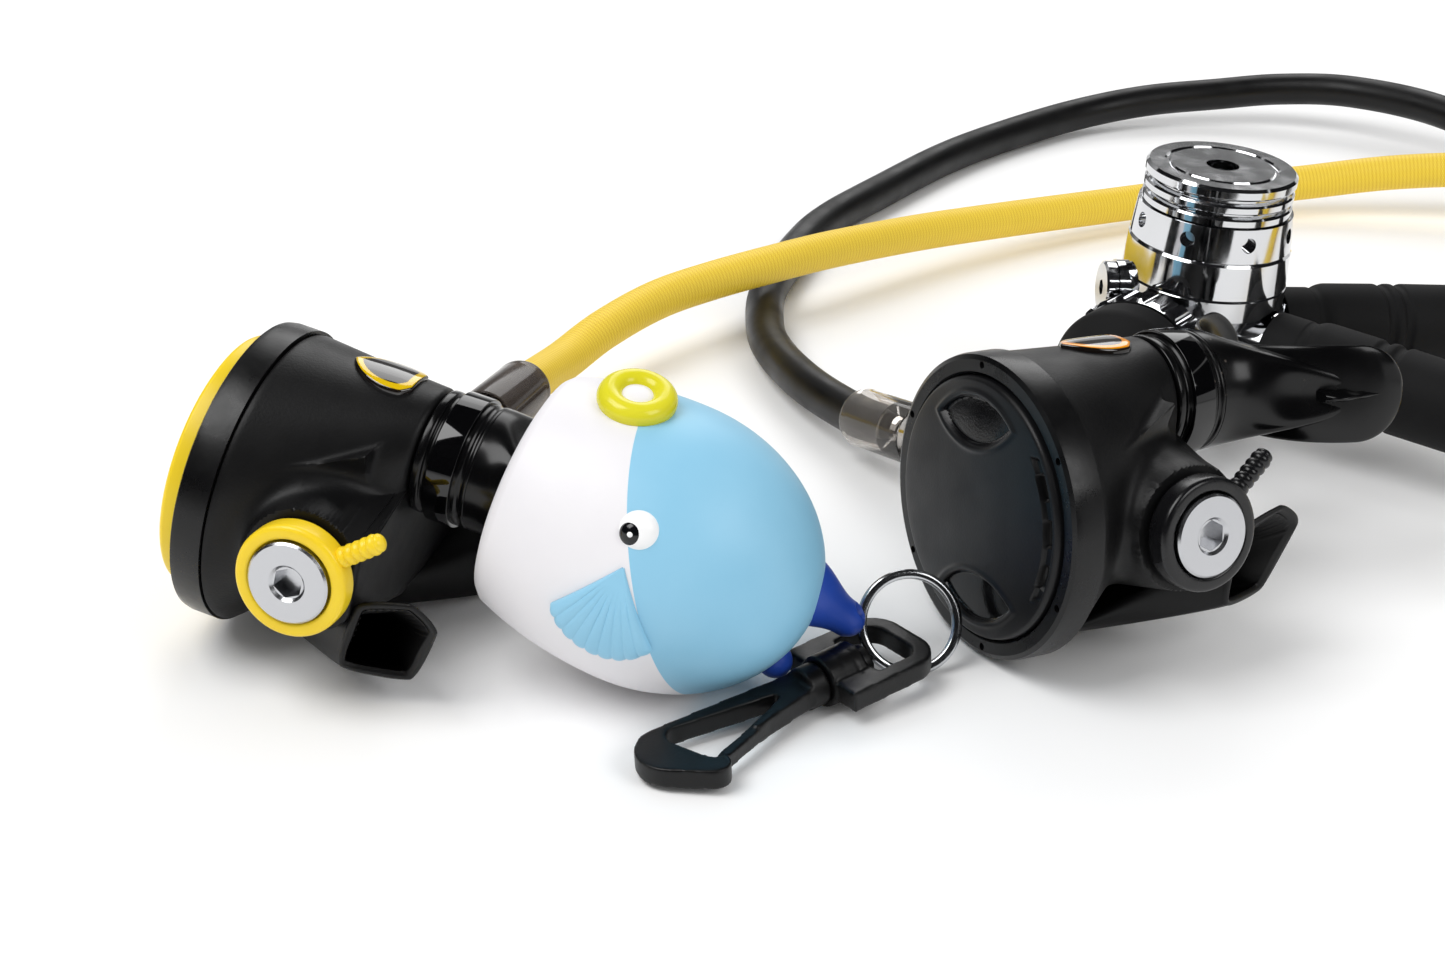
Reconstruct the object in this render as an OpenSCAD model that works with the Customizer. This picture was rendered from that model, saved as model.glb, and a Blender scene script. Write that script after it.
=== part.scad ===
// Scuba regulator set: first stage, primary and spare second stages,
// two low-pressure hoses, and a mouthpiece holder with a swivel clip.
// Millimetres. The set lies on a table at z = 0, with +Y away from the diver's side.

/* [Hoses] */
// Outside diameter of both low-pressure hoses
hose_d = 12; // [11:0.5:12.6]
// Outside diameter of the swaged ferrules
ferrule_d = 14.4; // [14:0.2:15]
// Width across the flats of the swivel nuts
nut_flats = 17; // [16:0.5:19]
// Length of a swivel nut
nut_l = 13; // [11:0.5:15]
// Length of a ferrule
ferrule_l = 24; // [20:1:28]
// Largest diameter of the rubber hose guards
guard_d = 24; // [22:0.5:26]
// Length of the hose guards
guard_l = 92.4; // [86:0.2:98]

/* [Second stage case] */
// Outside radius of the front ring
ring_r = 36.5; // [35:0.1:38]
// Depth of the front ring
ring_h = 8.1; // [7.5:0.1:9]
// Width of the ring's front lip
lip_w = 4.85; // [4.5:0.05:5.5]
// Thickness of the ring's front lip
lip_t = 2.4; // [2:0.1:2.8]
// Radius of the case where it meets the ring
case_r = 36; // [34:0.1:36.4]
// Distance from the ring's front to the case's back wall
case_h = 46; // [44:0.5:48]
// Wall thickness of the moulded case
wall = 2.4; // [2:0.1:3]
// Height of the mouthpiece tube above the middle of the ring
tube_z = 20.7; // [19:0.1:22]
// Outside radius of the mouthpiece tube
tube_r = 13.4; // [12.6:0.1:13.6]
// Length of the mouthpiece tube past the case's back wall
tube_l = 14; // [12:0.5:16]

/* [Second stage valve] */
// Distance from the ring's front to the barrel's axis
barrel_y = 33.1; // [32:0.1:34]
// Height of the barrel's axis
barrel_z = -2.1; // [-4:0.1:0]
// Outside radius of the valve barrel
barrel_r = 6.5; // [6.2:0.1:7]
// Radius of the poppet
poppet_r = 4.2; // [3.8:0.1:4.6]
// Travel of the purge cover
purge_travel = 3; // [2.5:0.5:4]
// Radius of the swivel collar round the end plug
collar_r = 13.5; // [12.5:0.1:14.5]
// Radius of the end plug's disc
plug_r = 9.75; // [9:0.05:10.2]
// Length of the collar's stem, from the barrel's axis
stem_l = 25; // [22:0.5:27]

/* [Mouthpieces] */
// Half width of the free mouthpiece's bite
bite_w = 31; // [28:0.5:33]
// Half width of the bite that sits in the holder
held_bite_w = 27; // [25:0.5:28]
// Height of the bite's flange
bite_h = 24; // [20:0.5:26]
// Thickness of the moulded silicone
bite_t = 2.6; // [2.2:0.1:3]

/* [First stage] */
// Radius of the spring cap's flanges
cap_r = 20.5; // [19.5:0.1:21.5]
// Height of the spring cap above the holed ring
cap_h = 11; // [10:0.5:12]
// Number of pin holes round the clamp ring
pin_holes = 8; // [6:1:10]
// Diameter of the pin holes
pin_d = 4.2; // [3.6:0.1:4.6]
// Top radius of the clamp ring
clamp_top_r = 21.2; // [21:0.1:22]
// Bottom radius of the clamp ring
clamp_low_r = 22.2; // [22:0.1:23]
// Radius of the body's wide part
body_r = 22.8; // [22.2:0.1:24]
// Radius of the body's lower part
turret_r = 17; // [16:0.5:18]
// Radius of the handwheel
wheel_r = 21; // [19:0.5:22]
// Number of grips round the handwheel
grips = 24; // [18:2:30]
// Radius of the connector's thread
thread_r = 11.45; // [11.4:0.05:11.5]
// Radius of the dust cap
dust_r = 20; // [19:0.5:21]

/* [Holder and clip] */
// Largest radius of the holder's body
holder_r = 33.75; // [33:0.25:35.5]
// Length of the holder's body
holder_l = 84; // [80:1:86]
// Wall of the soft holder
holder_wall = 2.6; // [2:0.1:2.8]
// Mean radius of the split ring
split_r = 11.5; // [11:0.1:12]
// Thickness of the split ring's wire
wire_d = 1.9; // [1.6:0.1:2.1]
// Radius of the clip's swivel socket
socket_r = 6.3; // [6:0.1:6.8]
// Length of the hook, from the middle of the socket
hook_l = 56; // [54:1:60]
// Thickness of the moulded clip
clip_t = 5; // [4.4:0.1:5.4]

/* [Hidden] */
$fn = 64;
gap = 0.3;
fit = 0.05;
// Places of the assemblies on the table
set_shift = [-61, 43.4, 0];
main_at = [60.7, -89.6, 37.2];
main_turn = [-4.7, -11.4, -60.6];
octo_at = [-115, -71.7, 39.7];
octo_turn = [-12.5, -6.2, -106.4];
stage_at = [130.8, 37.4, 0.47];
stage_lean = [0, 4.5, 0];
holder_droop = -4.6;
tube_end = case_h + tube_l;
// The split ring hangs in the hole of the holder's tail, and the clip on the ring
tail_hole_at = [-13.5, holder_l + 6.5, -4.4];
tail_hole_turn = [-31, 4, 0];
ring_at = octo_at + turned(octo_turn, [0, tube_end - 1, tube_z]
    + turned([holder_droop, 0, 0], tail_hole_at + [-8.531, 13.064, 1.198]));
ring_turn = [0, 61.3, -80.6];
clip_at = ring_at + [-18.5, -15.9, -4.8];
clip_turn = [0, 3, 217.7];
// Second stage, worked out
cover_r = ring_r - lip_w - gap;
inner_r = ring_r - 2.5;
chamber_r = cover_r + 1.5 * gap;
plate_y = ring_h + 2.2;
nose_r = 8;
free_press = 1.3;
fulcrum_y = barrel_y + 3;
stub_r = 8.5;
boss_x = case_r;
boss_r = 15;
mound_r = 21;
stub_x = boss_x + 11;
collar_x = boss_x + gap;
collar_w = 6.2;
plug_x = boss_x + 7.4;
neck_r = tube_r + gap + 1.2;
band_t = 0.9;
rib_n = 7;
valve_r = 8;
waist_y = 26;
waist_z = 6.5;
waist_r = 28.5;
socket_flats = 6.5;
lever_x = -14;
lever_pad_x = 4;
valve_seat_x = -20;
spring_x = 8;
// First stage, worked out
body_top = 56.6;
seam = 0.3;
clamp_h = 9.4;
cap_z = body_top + seam + clamp_h + 0.1;
din_z = 26;
din_dir = 233;
port_z = 30;
port_r = 7;
port_face = 23;
plug_z = 40;
upper_dir = 10;
lower_dir = -37;
plug_dir = 184;
rear_dir = 120;
rear_z = 19;
wheel_x = 26;
wheel_w = 9;
thread_l = 14;
// Hose routes
MAIN_ROUTE = [[24, 45, 9], [15, 75, 7], [13, 98, 6.5], [15, 124, 6.5], [25, 160, 6.5],
    [36, 186, 6.5], [56, 216, 6.5], [82, 252, 6.5], [108, 279, 6.5], [136, 300, 7.5],
    [163, 309, 10], [190, 311, 12], [215, 308, 15], [240, 298, 17], [267, 274, 17],
    [292, 240, 12], [310, 198, 7], [318, 160, 6.5], [316, 122, 8], [303, 90, 13]];
OCTO_ROUTE = [[-46, 46, 15.5], [-35, 63, 18], [-20, 81, 20], [-4, 95, 20.5], [16, 110, 20.5],
    [36, 127, 19], [65, 151, 15.5], [97, 173, 12], [129, 190, 10], [165, 203, 10],
    [202, 209, 12], [232, 208, 16], [262, 203, 19], [295, 196, 20.5], [325, 184, 18],
    [352, 162, 13], [372, 128, 8], [378, 88, 7], [370, 48, 7], [350, 12, 7],
    [320, -20, 7], [280, -44, 8]];

// Turns a vector by the three angles of a rotate()
function turned(a, v) =
    let (x1 = [v.x, v.y * cos(a.x) - v.z * sin(a.x), v.y * sin(a.x) + v.z * cos(a.x)])
    let (y1 = [x1.x * cos(a.y) + x1.z * sin(a.y), x1.y, -x1.x * sin(a.y) + x1.z * cos(a.y)])
    [y1.x * cos(a.z) - y1.y * sin(a.z), y1.x * sin(a.z) + y1.y * cos(a.z), y1.z];
function unit(v) = v / norm(v);

// A point on a smooth curve through four points
function spline(p, q, r, s, t) =
    0.5 * (2 * q + (r - p) * t + (2 * p - 5 * q + 4 * r - s) * t * t
    + (3 * q - p - 3 * r + s) * t * t * t);
function smooth(pts, steps) = let (n = len(pts)) [
    for (i = [0 : n - 2], k = [0 : steps - 1])
        spline(i == 0 ? 2 * pts[0] - pts[1] : pts[i - 1], pts[i], pts[i + 1],
            i == n - 2 ? 2 * pts[n - 1] - pts[n - 2] : pts[i + 2], k / steps),
    pts[n - 1]];
function route_length(pts, i = 1) =
    i >= len(pts) ? 0 : norm(pts[i] - pts[i - 1]) + route_length(pts, i + 1);

// A round tube along points, closed at both ends, with its first and last faces
// square to the given directions
module tube_along(pts, r, sides, dir0, dir1) {
    n = len(pts);
    tangents = [for (i = [0 : n - 1])
        i == 0 ? dir0 : i == n - 1 ? dir1 : unit(pts[i + 1] - pts[i - 1])];
    rings = [for (i = [0 : n - 1])
        let (side = unit(cross(tangents[i], [0, 0, 1])))
        let (up = cross(side, tangents[i]))
        for (k = [0 : sides - 1])
            pts[i] + r * (cos(360 * k / sides) * side + sin(360 * k / sides) * up)];
    quads = [for (i = [0 : n - 2], k = [0 : sides - 1])
        let (a = i * sides + k, b = i * sides + (k + 1) % sides)
        each [[a, b, b + sides], [a, b + sides, a + sides]]];
    caps = concat(
        [for (k = [1 : sides - 2]) [0, k + 1, k]],
        [for (k = [1 : sides - 2]) (n - 1) * sides * [1, 1, 1] + [0, k, k + 1]]);
    polyhedron(points = rings, faces = concat(quads, caps));
}

// A closed coil spring of round wire along Z, as one unbroken tube
module coil(mean_r, wire_r, height, turns) {
    steps = 8;
    sides = 6;
    count = turns * steps;
    rise = (height - 2 * wire_r) / turns;
    echo(str("coil self gap ", rise - 2 * wire_r));
    pts = [for (i = [0 : count]) let (a = 360 * i / steps)
        [mean_r * cos(a), mean_r * sin(a), wire_r + rise * i / steps]];
    tangents = [for (i = [0 : count]) let (a = 360 * i / steps)
        unit([-sin(a) * mean_r * 2 * PI, cos(a) * mean_r * 2 * PI, rise])];
    rings = [for (i = [0 : count])
        let (a = 360 * i / steps)
        let (out = [cos(a), sin(a), 0])
        let (up = cross(tangents[i], out))
        for (k = [0 : sides - 1])
            pts[i] + wire_r * (cos(360 * k / sides) * out - sin(360 * k / sides) * up)];
    quads = [for (i = [0 : count - 1], k = [0 : sides - 1])
        let (a = i * sides + k, b = i * sides + (k + 1) % sides)
        each [[a, b, b + sides], [a, b + sides, a + sides]]];
    caps = concat(
        [for (k = [1 : sides - 2]) [0, k + 1, k]],
        [for (k = [1 : sides - 2]) count * sides * [1, 1, 1] + [0, k, k + 1]]);
    polyhedron(points = rings, faces = concat(quads, caps));
}

module in_set() { translate(set_shift) children(); }
module at_main() { in_set() translate(main_at) rotate(main_turn) children(); }
module at_octo() { in_set() translate(octo_at) rotate(octo_turn) children(); }
module at_stage() { in_set() translate(stage_at) rotate(stage_lean) children(); }

// Axis helpers: a child drawn along Z is laid along +Y or +X
module along_y(y, z = 0) { translate([0, y, z]) rotate([-90, 0, 0]) children(); }
module on_barrel(x) { translate([x, barrel_y, barrel_z]) rotate([0, 90, 0]) children(); }
module port(dir, z) { rotate([0, 0, dir]) translate([0, 0, z]) rotate([0, 90, 0]) children(); }
module hex(flats, h) { cylinder(r = flats / sqrt(3), h = h, $fn = 6); }

// ---------- Second stage ----------

// Outer form of the moulded case, grown by a margin
module case_form(grow) {
    hull() {
        along_y(ring_h - grow) cylinder(r = case_r + grow, h = 1, $fn = 48);
        along_y(waist_y, waist_z) cylinder(r = waist_r + grow, h = 1, $fn = 48);
        along_y(case_h - 1 + grow, tube_z) cylinder(r = boss_r + grow, h = 1, $fn = 32);
    }
    intersection() {
        for (side = [-1, 1])
            on_barrel(0) rotate([0, side < 0 ? 180 : 0, 0])
                cylinder(r1 = mound_r + grow, r2 = boss_r + grow, h = boss_x + grow);
        translate([-case_r - 9, 0, -case_r]) cube([2 * case_r + 18, case_h + grow, 2 * case_r]);
    }
}

module case_hollow() {
    hull() {
        along_y(ring_h - 2) cylinder(r = chamber_r, h = 8, $fn = 48);
        along_y(waist_y, waist_z) cylinder(r = waist_r - wall, h = 1, $fn = 32);
        along_y(case_h - wall - 1, tube_z) cylinder(r = tube_r - wall, h = 1, $fn = 32);
    }
    on_barrel(-boss_x + 4) cylinder(r = 11, h = 2 * boss_x - 8);
}

// Direction square to the case's lower wall, where the exhaust valve sits
exhaust_turn = [-142, 0, 0];
exhaust_at = [0, 20, -27.5];
seat_depth = 1.2;
module at_exhaust() { translate(exhaust_at) rotate(exhaust_turn) children(); }

module second_case() {
    difference() {
        union() {
            case_form(0);
            along_y(ring_h - 2.6) cylinder(r = inner_r - gap, h = 3);
            along_y(case_h - 4, tube_z) cylinder(r = tube_r, h = tube_end - case_h + 4);
        }
        case_hollow();
        along_y(ring_h - 3) cylinder(r = chamber_r, h = purge_travel + 2);
        along_y(case_h - 8, tube_z) cylinder(r = tube_r - wall, h = tube_end);
        on_barrel(-boss_x - 1) cylinder(r = stub_r + fit, h = boss_x);
        on_barrel(0) cylinder(r = nose_r + fit, h = boss_x + 1);
        for (a = [0 : 60 : 300])
            at_exhaust() rotate([0, 0, a]) translate([5, 0, -8]) cylinder(r = 1.9, h = 12);
        at_exhaust() translate([0, 0, -8]) cylinder(r = 1.5, h = 12);
        at_exhaust() translate([0, 0, -seat_depth]) cylinder(r = valve_r + 0.6, h = 8);
    }
}

module second_ring() {
    difference() {
        along_y(0) rotate_extrude($fn = 96) polygon([
            [cover_r + gap, 0.6], [cover_r + gap + 0.6, 0], [ring_r - 1.4, 0], [ring_r - 0.3, 0.6],
            [ring_r, 2], [ring_r, ring_h], [inner_r, ring_h], [inner_r, lip_t],
            [cover_r + gap, lip_t]]);
        for (a = [30 : 60 : 330])
            rotate([0, a, 0]) translate([ring_r - 2.4, -1, 0]) rotate([-90, 0, 0])
                cylinder(r = 0.9, h = 2.6, $fn = 24);
    }
}

// Domed cover with a stepped panel on its front, standing a set amount out of the ring
module second_cover(stand) {
    dome = 2.2;
    difference() {
        along_y(0) rotate_extrude($fn = 96) polygon(concat(
            [[0, lip_t + 1.2], [cover_r, lip_t + 1.2], [cover_r, -stand]],
            [for (i = [1 : 9]) let (t = i / 10)
                [cover_r * cos(90 * t), -stand - dome * sin(90 * t)]],
            [[0, -stand - dome]]));
        for (side = [-1, 1])
            translate([0, -stand - dome - 1, side * 22]) rotate([-90, 0, 0])
                linear_extrude(2) intersection() {
                    translate([0, 14]) circle(r = 20);
                    translate([0, -14]) circle(r = 20);
                }
        for (a = [-36 : 18 : 36])
            rotate([0, a, 0]) translate([27.4, -stand - dome - 1, -2.6])
                cube([1.6, dome + 1.2, 5.2]);
    }
    along_y(lip_t + 1) cylinder(r = 5, h = plate_y - free_press - lip_t - 1);
}

module second_diaphragm() {
    along_y(0) rotate_extrude($fn = 72) polygon([
        [0, plate_y], [12, plate_y], [13, plate_y - 0.2], [20, plate_y - 0.2],
        [23, plate_y + 1.4], [26, plate_y + 1.4], [28.4, plate_y - 2.4], [29, ring_h - 3.7],
        [inner_r - 2 * gap, ring_h - 3.7], [inner_r - 2 * gap, ring_h - 2.6],
        [29.8, ring_h - 2.6], [28.8, plate_y - 1.6], [26.6, plate_y + 2.1],
        [22.6, plate_y + 2.1], [19.7, plate_y + 0.6], [12, plate_y + 0.8], [0, plate_y + 0.8]]);
}

// Bent strip from the diaphragm's middle, with two legs down beside the barrel to a
// fulcrum behind its axis, and toes that reach through the barrel into the poppet's slot
module second_lever() {
    pad_y = plate_y + 0.8 + gap;
    foot_y = barrel_y - barrel_r - 2;
    leg = barrel_r + 1.4;
    translate([lever_pad_x, pad_y, barrel_z]) rotate([-90, 0, 0]) cylinder(r = 3.4, h = 1, $fn = 32);
    translate([0, 0, barrel_z - 3]) linear_extrude(6) polygon([
        [lever_pad_x - 3, pad_y + 0.2], [lever_pad_x, pad_y + 0.2], [lever_pad_x, pad_y + 1.2],
        [lever_pad_x - 2.2, pad_y + 1.2], [lever_x + 3, foot_y + 1], [lever_x - 1.6, foot_y + 1],
        [lever_x - 1.6, foot_y], [lever_x + 2.4, foot_y]]);
    translate([lever_x - 1.6, foot_y, barrel_z - leg]) cube([3.2, 1, 2 * leg]);
    for (side = [-1, 1]) {
        translate([lever_x - 1.6, foot_y, barrel_z + side * (leg - 0.5) - 0.5])
            cube([3.2, fulcrum_y + 1 - foot_y, 1]);
        translate([lever_x - 0.8, barrel_y - 0.6, barrel_z + side * (leg + 3) / 2 - (leg - 3) / 2])
            cube([1.6, 1.2, leg - 3]);
    }
}

module second_barrel() {
    difference() {
        union() {
            on_barrel(-stub_x) cylinder(r = stub_r, h = stub_x - boss_x + 4);
            on_barrel(-boss_x) cylinder(r = barrel_r, h = 2 * boss_x);
            on_barrel(boss_x - 6) cylinder(r = nose_r, h = collar_w + 4);
        }
        on_barrel(-stub_x - 1) cylinder(r = poppet_r + 0.1, h = 2 * stub_x);
        on_barrel(-stub_x - 1) cylinder(r = 6.2, h = 9);
        on_barrel(boss_x - 8) cylinder(r = 5.5, h = 20);
        translate([lever_x - 2.2, barrel_y - 2, barrel_z - barrel_r - 1]) cube([4.6, 4, 2 * barrel_r + 2]);
        translate([2, barrel_y, barrel_z + 2]) cylinder(r = 2.2, h = barrel_r);
    }
}

module second_poppet() {
    difference() {
        union() {
            on_barrel(valve_seat_x) cylinder(r = poppet_r - 0.6, h = 2);
            on_barrel(valve_seat_x + 2) cylinder(r = poppet_r, h = spring_x - valve_seat_x - 2);
        }
        translate([lever_x - 1.5, barrel_y - 1, barrel_z - 5]) cube([2.7, 2, 10]);
    }
}

module second_spring() {
    on_barrel(spring_x + 0.1) coil(2.9, 0.5, 17, 6);
}

module second_orifice() {
    difference() {
        union() {
            on_barrel(valve_seat_x - 0.3 - 12) cylinder(r = poppet_r, h = 10);
            on_barrel(valve_seat_x - 2.3) cylinder(r1 = poppet_r, r2 = 2, h = 2);
        }
        on_barrel(valve_seat_x - 14) cylinder(r = 1.4, h = 16);
    }
}

module second_plug() {
    difference() {
        union() {
            on_barrel(plug_x - 2.4) cylinder(r = plug_r, h = 1.9);
            on_barrel(plug_x - 0.5) cylinder(r1 = plug_r, r2 = plug_r - 0.5, h = 0.5);
            on_barrel(spring_x + 17.3) cylinder(r = poppet_r, h = 4);
            on_barrel(boss_x - 7.8) cylinder(r = 5.45, h = plug_x - 1.8 - boss_x + 7.8);
        }
        on_barrel(plug_x - 4) hex(socket_flats, 5);
        on_barrel(plug_x - 0.7) cylinder(r1 = socket_flats / sqrt(3), r2 = socket_flats / sqrt(3) + 0.7, h = 0.71);
    }
}

// Collar that turns on the barrel's nose, with its ribbed stem
module second_collar() {
    stem_turn = 41;
    recess = plug_x - 2.4 - gap - collar_x;
    root_r = collar_r - 1.5;
    rib = (stem_l - root_r - 2) / (2 * rib_n);
    on_barrel(collar_x) rotate_extrude($fn = 96) polygon([
        [nose_r + fit, 0], [collar_r, 0], [collar_r, collar_w - 0.8], [collar_r - 0.8, collar_w],
        [plug_r + gap, collar_w], [plug_r + gap, recess], [nose_r + fit, recess]]);
    translate([collar_x + 2.6, barrel_y, barrel_z]) rotate([stem_turn - 90, 0, 0])
        rotate_extrude($fn = 32) polygon(concat([[0, root_r]],
            [for (i = [0 : 2 * rib_n]) let (z = root_r + i * rib, r = i % 2 == 0 ? 2.5 : 2.1)
                each [[r, z], [r, z + 0.6 * rib]]],
            [[1.4, stem_l], [0, stem_l]]));
}

module second_exhaust_valve() {
    at_exhaust() {
        translate([0, 0, -seat_depth]) cylinder(r = valve_r, h = 0.7);
        translate([0, 0, -seat_depth - 3]) cylinder(r = 1.2, h = 3.4);
    }
}

// Corners of a horn's opening, on the side of the end plug
MOUTH = [[35, 59.5, -1.5], [33.5, 65.5, -6], [27.5, 60.5, -22.5], [33, 45.5, -22.5], [34.5, 48, -6]];
mouth_mid = [33, 56, -12];
mouth_out = [0.75, 0.65, -0.1];
module horn(inset, out) {
    hull() {
        at_exhaust() translate([0, 0, -4])
            cylinder(r = valve_r + 2.8 - inset, h = 7 - 0.7 * inset, $fn = 24);
        for (p = MOUTH)
            translate(p + inset * unit(mouth_mid - p) + out * mouth_out) sphere(r = 1.5, $fn = 12);
    }
}
module second_tee() {
    difference() {
        union() {
            horn(0, 0);
            mirror([1, 0, 0]) horn(0, 0);
        }
        horn(2.2, 3);
        mirror([1, 0, 0]) horn(2.2, 3);
        case_form(gap);
        at_exhaust() cylinder(r = valve_r + 0.4, h = 2.2);
    }
}

// Neck, oval throat, curved flange and two bite tabs
module second_mouthpiece(half_w) {
    tip_y = tube_end + half_w * 1.35;
    throat_y = tube_end + 11;
    difference() {
        union() {
            along_y(case_h + gap, tube_z) cylinder(r = neck_r, h = tube_end - case_h);
            hull() {
                along_y(tube_end, tube_z) cylinder(r = neck_r, h = 0.5, $fn = 32);
                along_y(throat_y, tube_z) for (side = [-1, 1])
                    translate([side * 9, 0, 0]) cylinder(r = 9.5, h = 1, $fn = 24);
            }
            difference() {
                translate([0, tip_y, tube_z - bite_h / 2]) linear_extrude(bite_h)
                    intersection() {
                        difference() {
                            circle(r = half_w);
                            circle(r = half_w - bite_t);
                        }
                        translate([-half_w, -half_w]) square([2 * half_w, half_w]);
                    }
                for (side = [-1, 1])
                    translate([0, tip_y - 8, tube_z + side * (bite_h - 5)]) rotate([side * 12, 0, 0])
                        cube([3 * half_w, half_w, bite_h / 2 + 1.5], center = true);
            }
            for (side = [-1, 1])
                translate([side * (half_w - 7), tip_y - 11, tube_z]) rotate([0, 0, side * 6])
                    cube([12, 20, 3], center = true);
        }
        along_y(case_h, tube_z) cylinder(r = tube_r + fit, h = tube_end - case_h + 0.1);
        hull() {
            along_y(tube_end, tube_z) cylinder(r = tube_r - 0.8, h = 0.5, $fn = 32);
            along_y(throat_y + 3, tube_z) for (side = [-1, 1])
                translate([side * 9, 0, 0]) cylinder(r = 7, h = 4, $fn = 24);
        }
    }
}

module second_band() {
    along_y(case_h + 4, tube_z) difference() {
        union() {
            cylinder(r = neck_r + band_t, h = 6.5);
            translate([-4, -neck_r - band_t - 1.6, 0]) cube([8, 3, 6.5]);
        }
        translate([0, 0, -1]) cylinder(r = neck_r + fit, h = 9);
    }
}

module shield_outline() {
    intersection() {
        translate([0, 0.5]) circle(r = 9.2);
        translate([-5, 3]) circle(r = 12.6);
        translate([5, 3]) circle(r = 12.6);
        translate([-9, -9]) square([18, 17.4]);
    }
}
module second_badge() {
    intersection() {
        difference() {
            case_form(1.1);
            case_form(0.1);
        }
        translate([0, 31, 24]) linear_extrude(20) shield_outline();
    }
}

// Swivel nut and ferrule along +Z, from the fitting's face
module nut_and_ferrule() {
    rotate([0, 0, 30]) difference() {
        hex(nut_flats, nut_l);
        for (end = [0, 1])
            translate([0, 0, end * nut_l]) rotate_extrude() translate([nut_flats / 2, end == 0 ? 0 : -1])
                polygon([[0, end], [3, end], [3, end == 0 ? 2.4 : -1.4], [1.4, end == 0 ? 0.8 : 0.2]]);
    }
    translate([0, 0, nut_l - 1]) cylinder(r = 5.6, h = 4);
    translate([0, 0, nut_l + 2.5]) rotate_extrude() polygon([
        [0, 0], [ferrule_d / 2 - 0.8, 0], [ferrule_d / 2, 0.8], [ferrule_d / 2, 6],
        [ferrule_d / 2 - 0.5, 6.6], [ferrule_d / 2 - 0.5, ferrule_l - 6], [ferrule_d / 2, ferrule_l - 5.4],
        [ferrule_d / 2, ferrule_l - 0.6], [ferrule_d / 2 - 0.4, ferrule_l], [0, ferrule_l]]);
}
fitting_l = nut_l + 2.5 + ferrule_l;

module second_nut() {
    on_barrel(-stub_x - 0.1) rotate([0, 180, 0]) nut_and_ferrule();
}

// See-through bend sleeve over the ferrule's end and the hose
sleeve_l = 30;
module second_sleeve() {
    on_barrel(-stub_x - fitting_l - 19) rotate_extrude() polygon([
        [hose_d / 2 + gap, 0], [ferrule_d / 2 + 0.9, 0], [ferrule_d / 2 + 1.2, 1.4], [ferrule_d / 2 + 1.2, sleeve_l],
        [ferrule_d / 2 + gap, sleeve_l], [ferrule_d / 2 + gap, 18.6], [hose_d / 2 + gap, 18.6]]);
}

// ---------- First stage ----------

module stage_body() {
    difference() {
        union() {
            rotate_extrude($fn = 96) polygon(concat(
                [[0, 0.6], [13.4, 0.6], [15, 2.2], [15, 6], [turret_r, 8], [turret_r, 33]],
                [for (i = [0 : 6]) let (a = -90 + 15 * i)
                    [turret_r + (body_r - turret_r) * (1 - cos(90 + a)), 33 + 7 * (1 - cos(90 + a)) + 0.001 * i]],
                [[body_r, 45.6], [body_r - 0.4, 46], [body_r, 46.4], [clamp_low_r + 0.2, body_top - 0.8],
                    [clamp_low_r - 0.4, body_top], [0, body_top]]));
            port(din_dir, din_z) cylinder(r = 12, h = 22);
            port(upper_dir, port_z) cylinder(r = port_r + 2, h = port_face);
            port(lower_dir, port_z) cylinder(r = port_r + 2, h = port_face);
            port(plug_dir, plug_z) cylinder(r = port_r + 1, h = 25);
            port(rear_dir, rear_z) cylinder(r = port_r + 1, h = 20);
        }
        translate([0, 0, 44]) cylinder(r = 1.55, h = 20);
        translate([0, 0, 9]) cylinder(r = 4.05, h = 35.4);
        translate([0, 0, body_top - 2.2]) cylinder(r = 16, h = 5);
        port(din_dir, din_z) cylinder(r = 3, h = 40);
        port(din_dir, din_z) translate([0, 0, 14]) cylinder(r = 7 + fit, h = 20);
        port(upper_dir, port_z) translate([0, 0, 15]) cylinder(r = 4.5, h = 20);
        port(lower_dir, port_z) translate([0, 0, 15]) cylinder(r = 4.5, h = 20);
        port(plug_dir, plug_z) translate([0, 0, 18]) cylinder(r = 4.5, h = 20);
        port(rear_dir, rear_z) translate([0, 0, 12]) cylinder(r = 4.5, h = 20);
    }
}

module stage_clamp_ring() {
    translate([0, 0, body_top + seam]) difference() {
        cylinder(r1 = clamp_low_r, r2 = clamp_top_r, h = clamp_h, $fn = 96);
        translate([0, 0, -1]) cylinder(r = 17.2, h = clamp_h + 2);
        for (k = [0 : pin_holes - 1])
            rotate([0, 0, 360 * (k + 0.35) / pin_holes]) translate([clamp_low_r - 3, 0, clamp_h * 0.55])
                rotate([0, 90, 0]) cylinder(r = pin_d / 2, h = 6, $fn = 32);
    }
}

// Stacked flanges over a skirt that screws into the clamp ring
module stage_cap() {
    difference() {
        translate([0, 0, cap_z]) rotate_extrude($fn = 96) polygon([
            [0, 0], [0, -3], [17, -3], [17, 0], [cap_r - 0.4, 0], [cap_r, 0.4], [cap_r, 2], [cap_r - 0.5, 2.5],
            [cap_r - 1.8, 2.7], [cap_r - 1.8, 3.5], [cap_r - 0.4, 3.8], [cap_r, 4.2], [cap_r, 5.7], [cap_r - 0.5, 6.2],
            [cap_r - 1.8, 6.4], [cap_r - 1.8, 7.3], [cap_r - 0.2, 7.7], [cap_r + 0.2, 8.3], [cap_r + 0.2, cap_h - 0.8],
            [cap_r - 0.6, cap_h], [15.8, cap_h], [15.4, cap_h - 0.6], [14.6, cap_h - 0.6], [14.2, cap_h], [0, cap_h]]);
        translate([0, 0, cap_z - 4]) cylinder(r = 13.5, h = cap_h + 1.4);
        translate([0, 0, cap_z + cap_h - 4]) cylinder(r = 4.5, h = 6);
    }
}

module stage_adjuster() {
    difference() {
        translate([0, 0, cap_z + 3.4]) cylinder(r = 13.2, h = 4.6);
        translate([0, 0, cap_z + 2]) hex(6, 8);
    }
}

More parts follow.
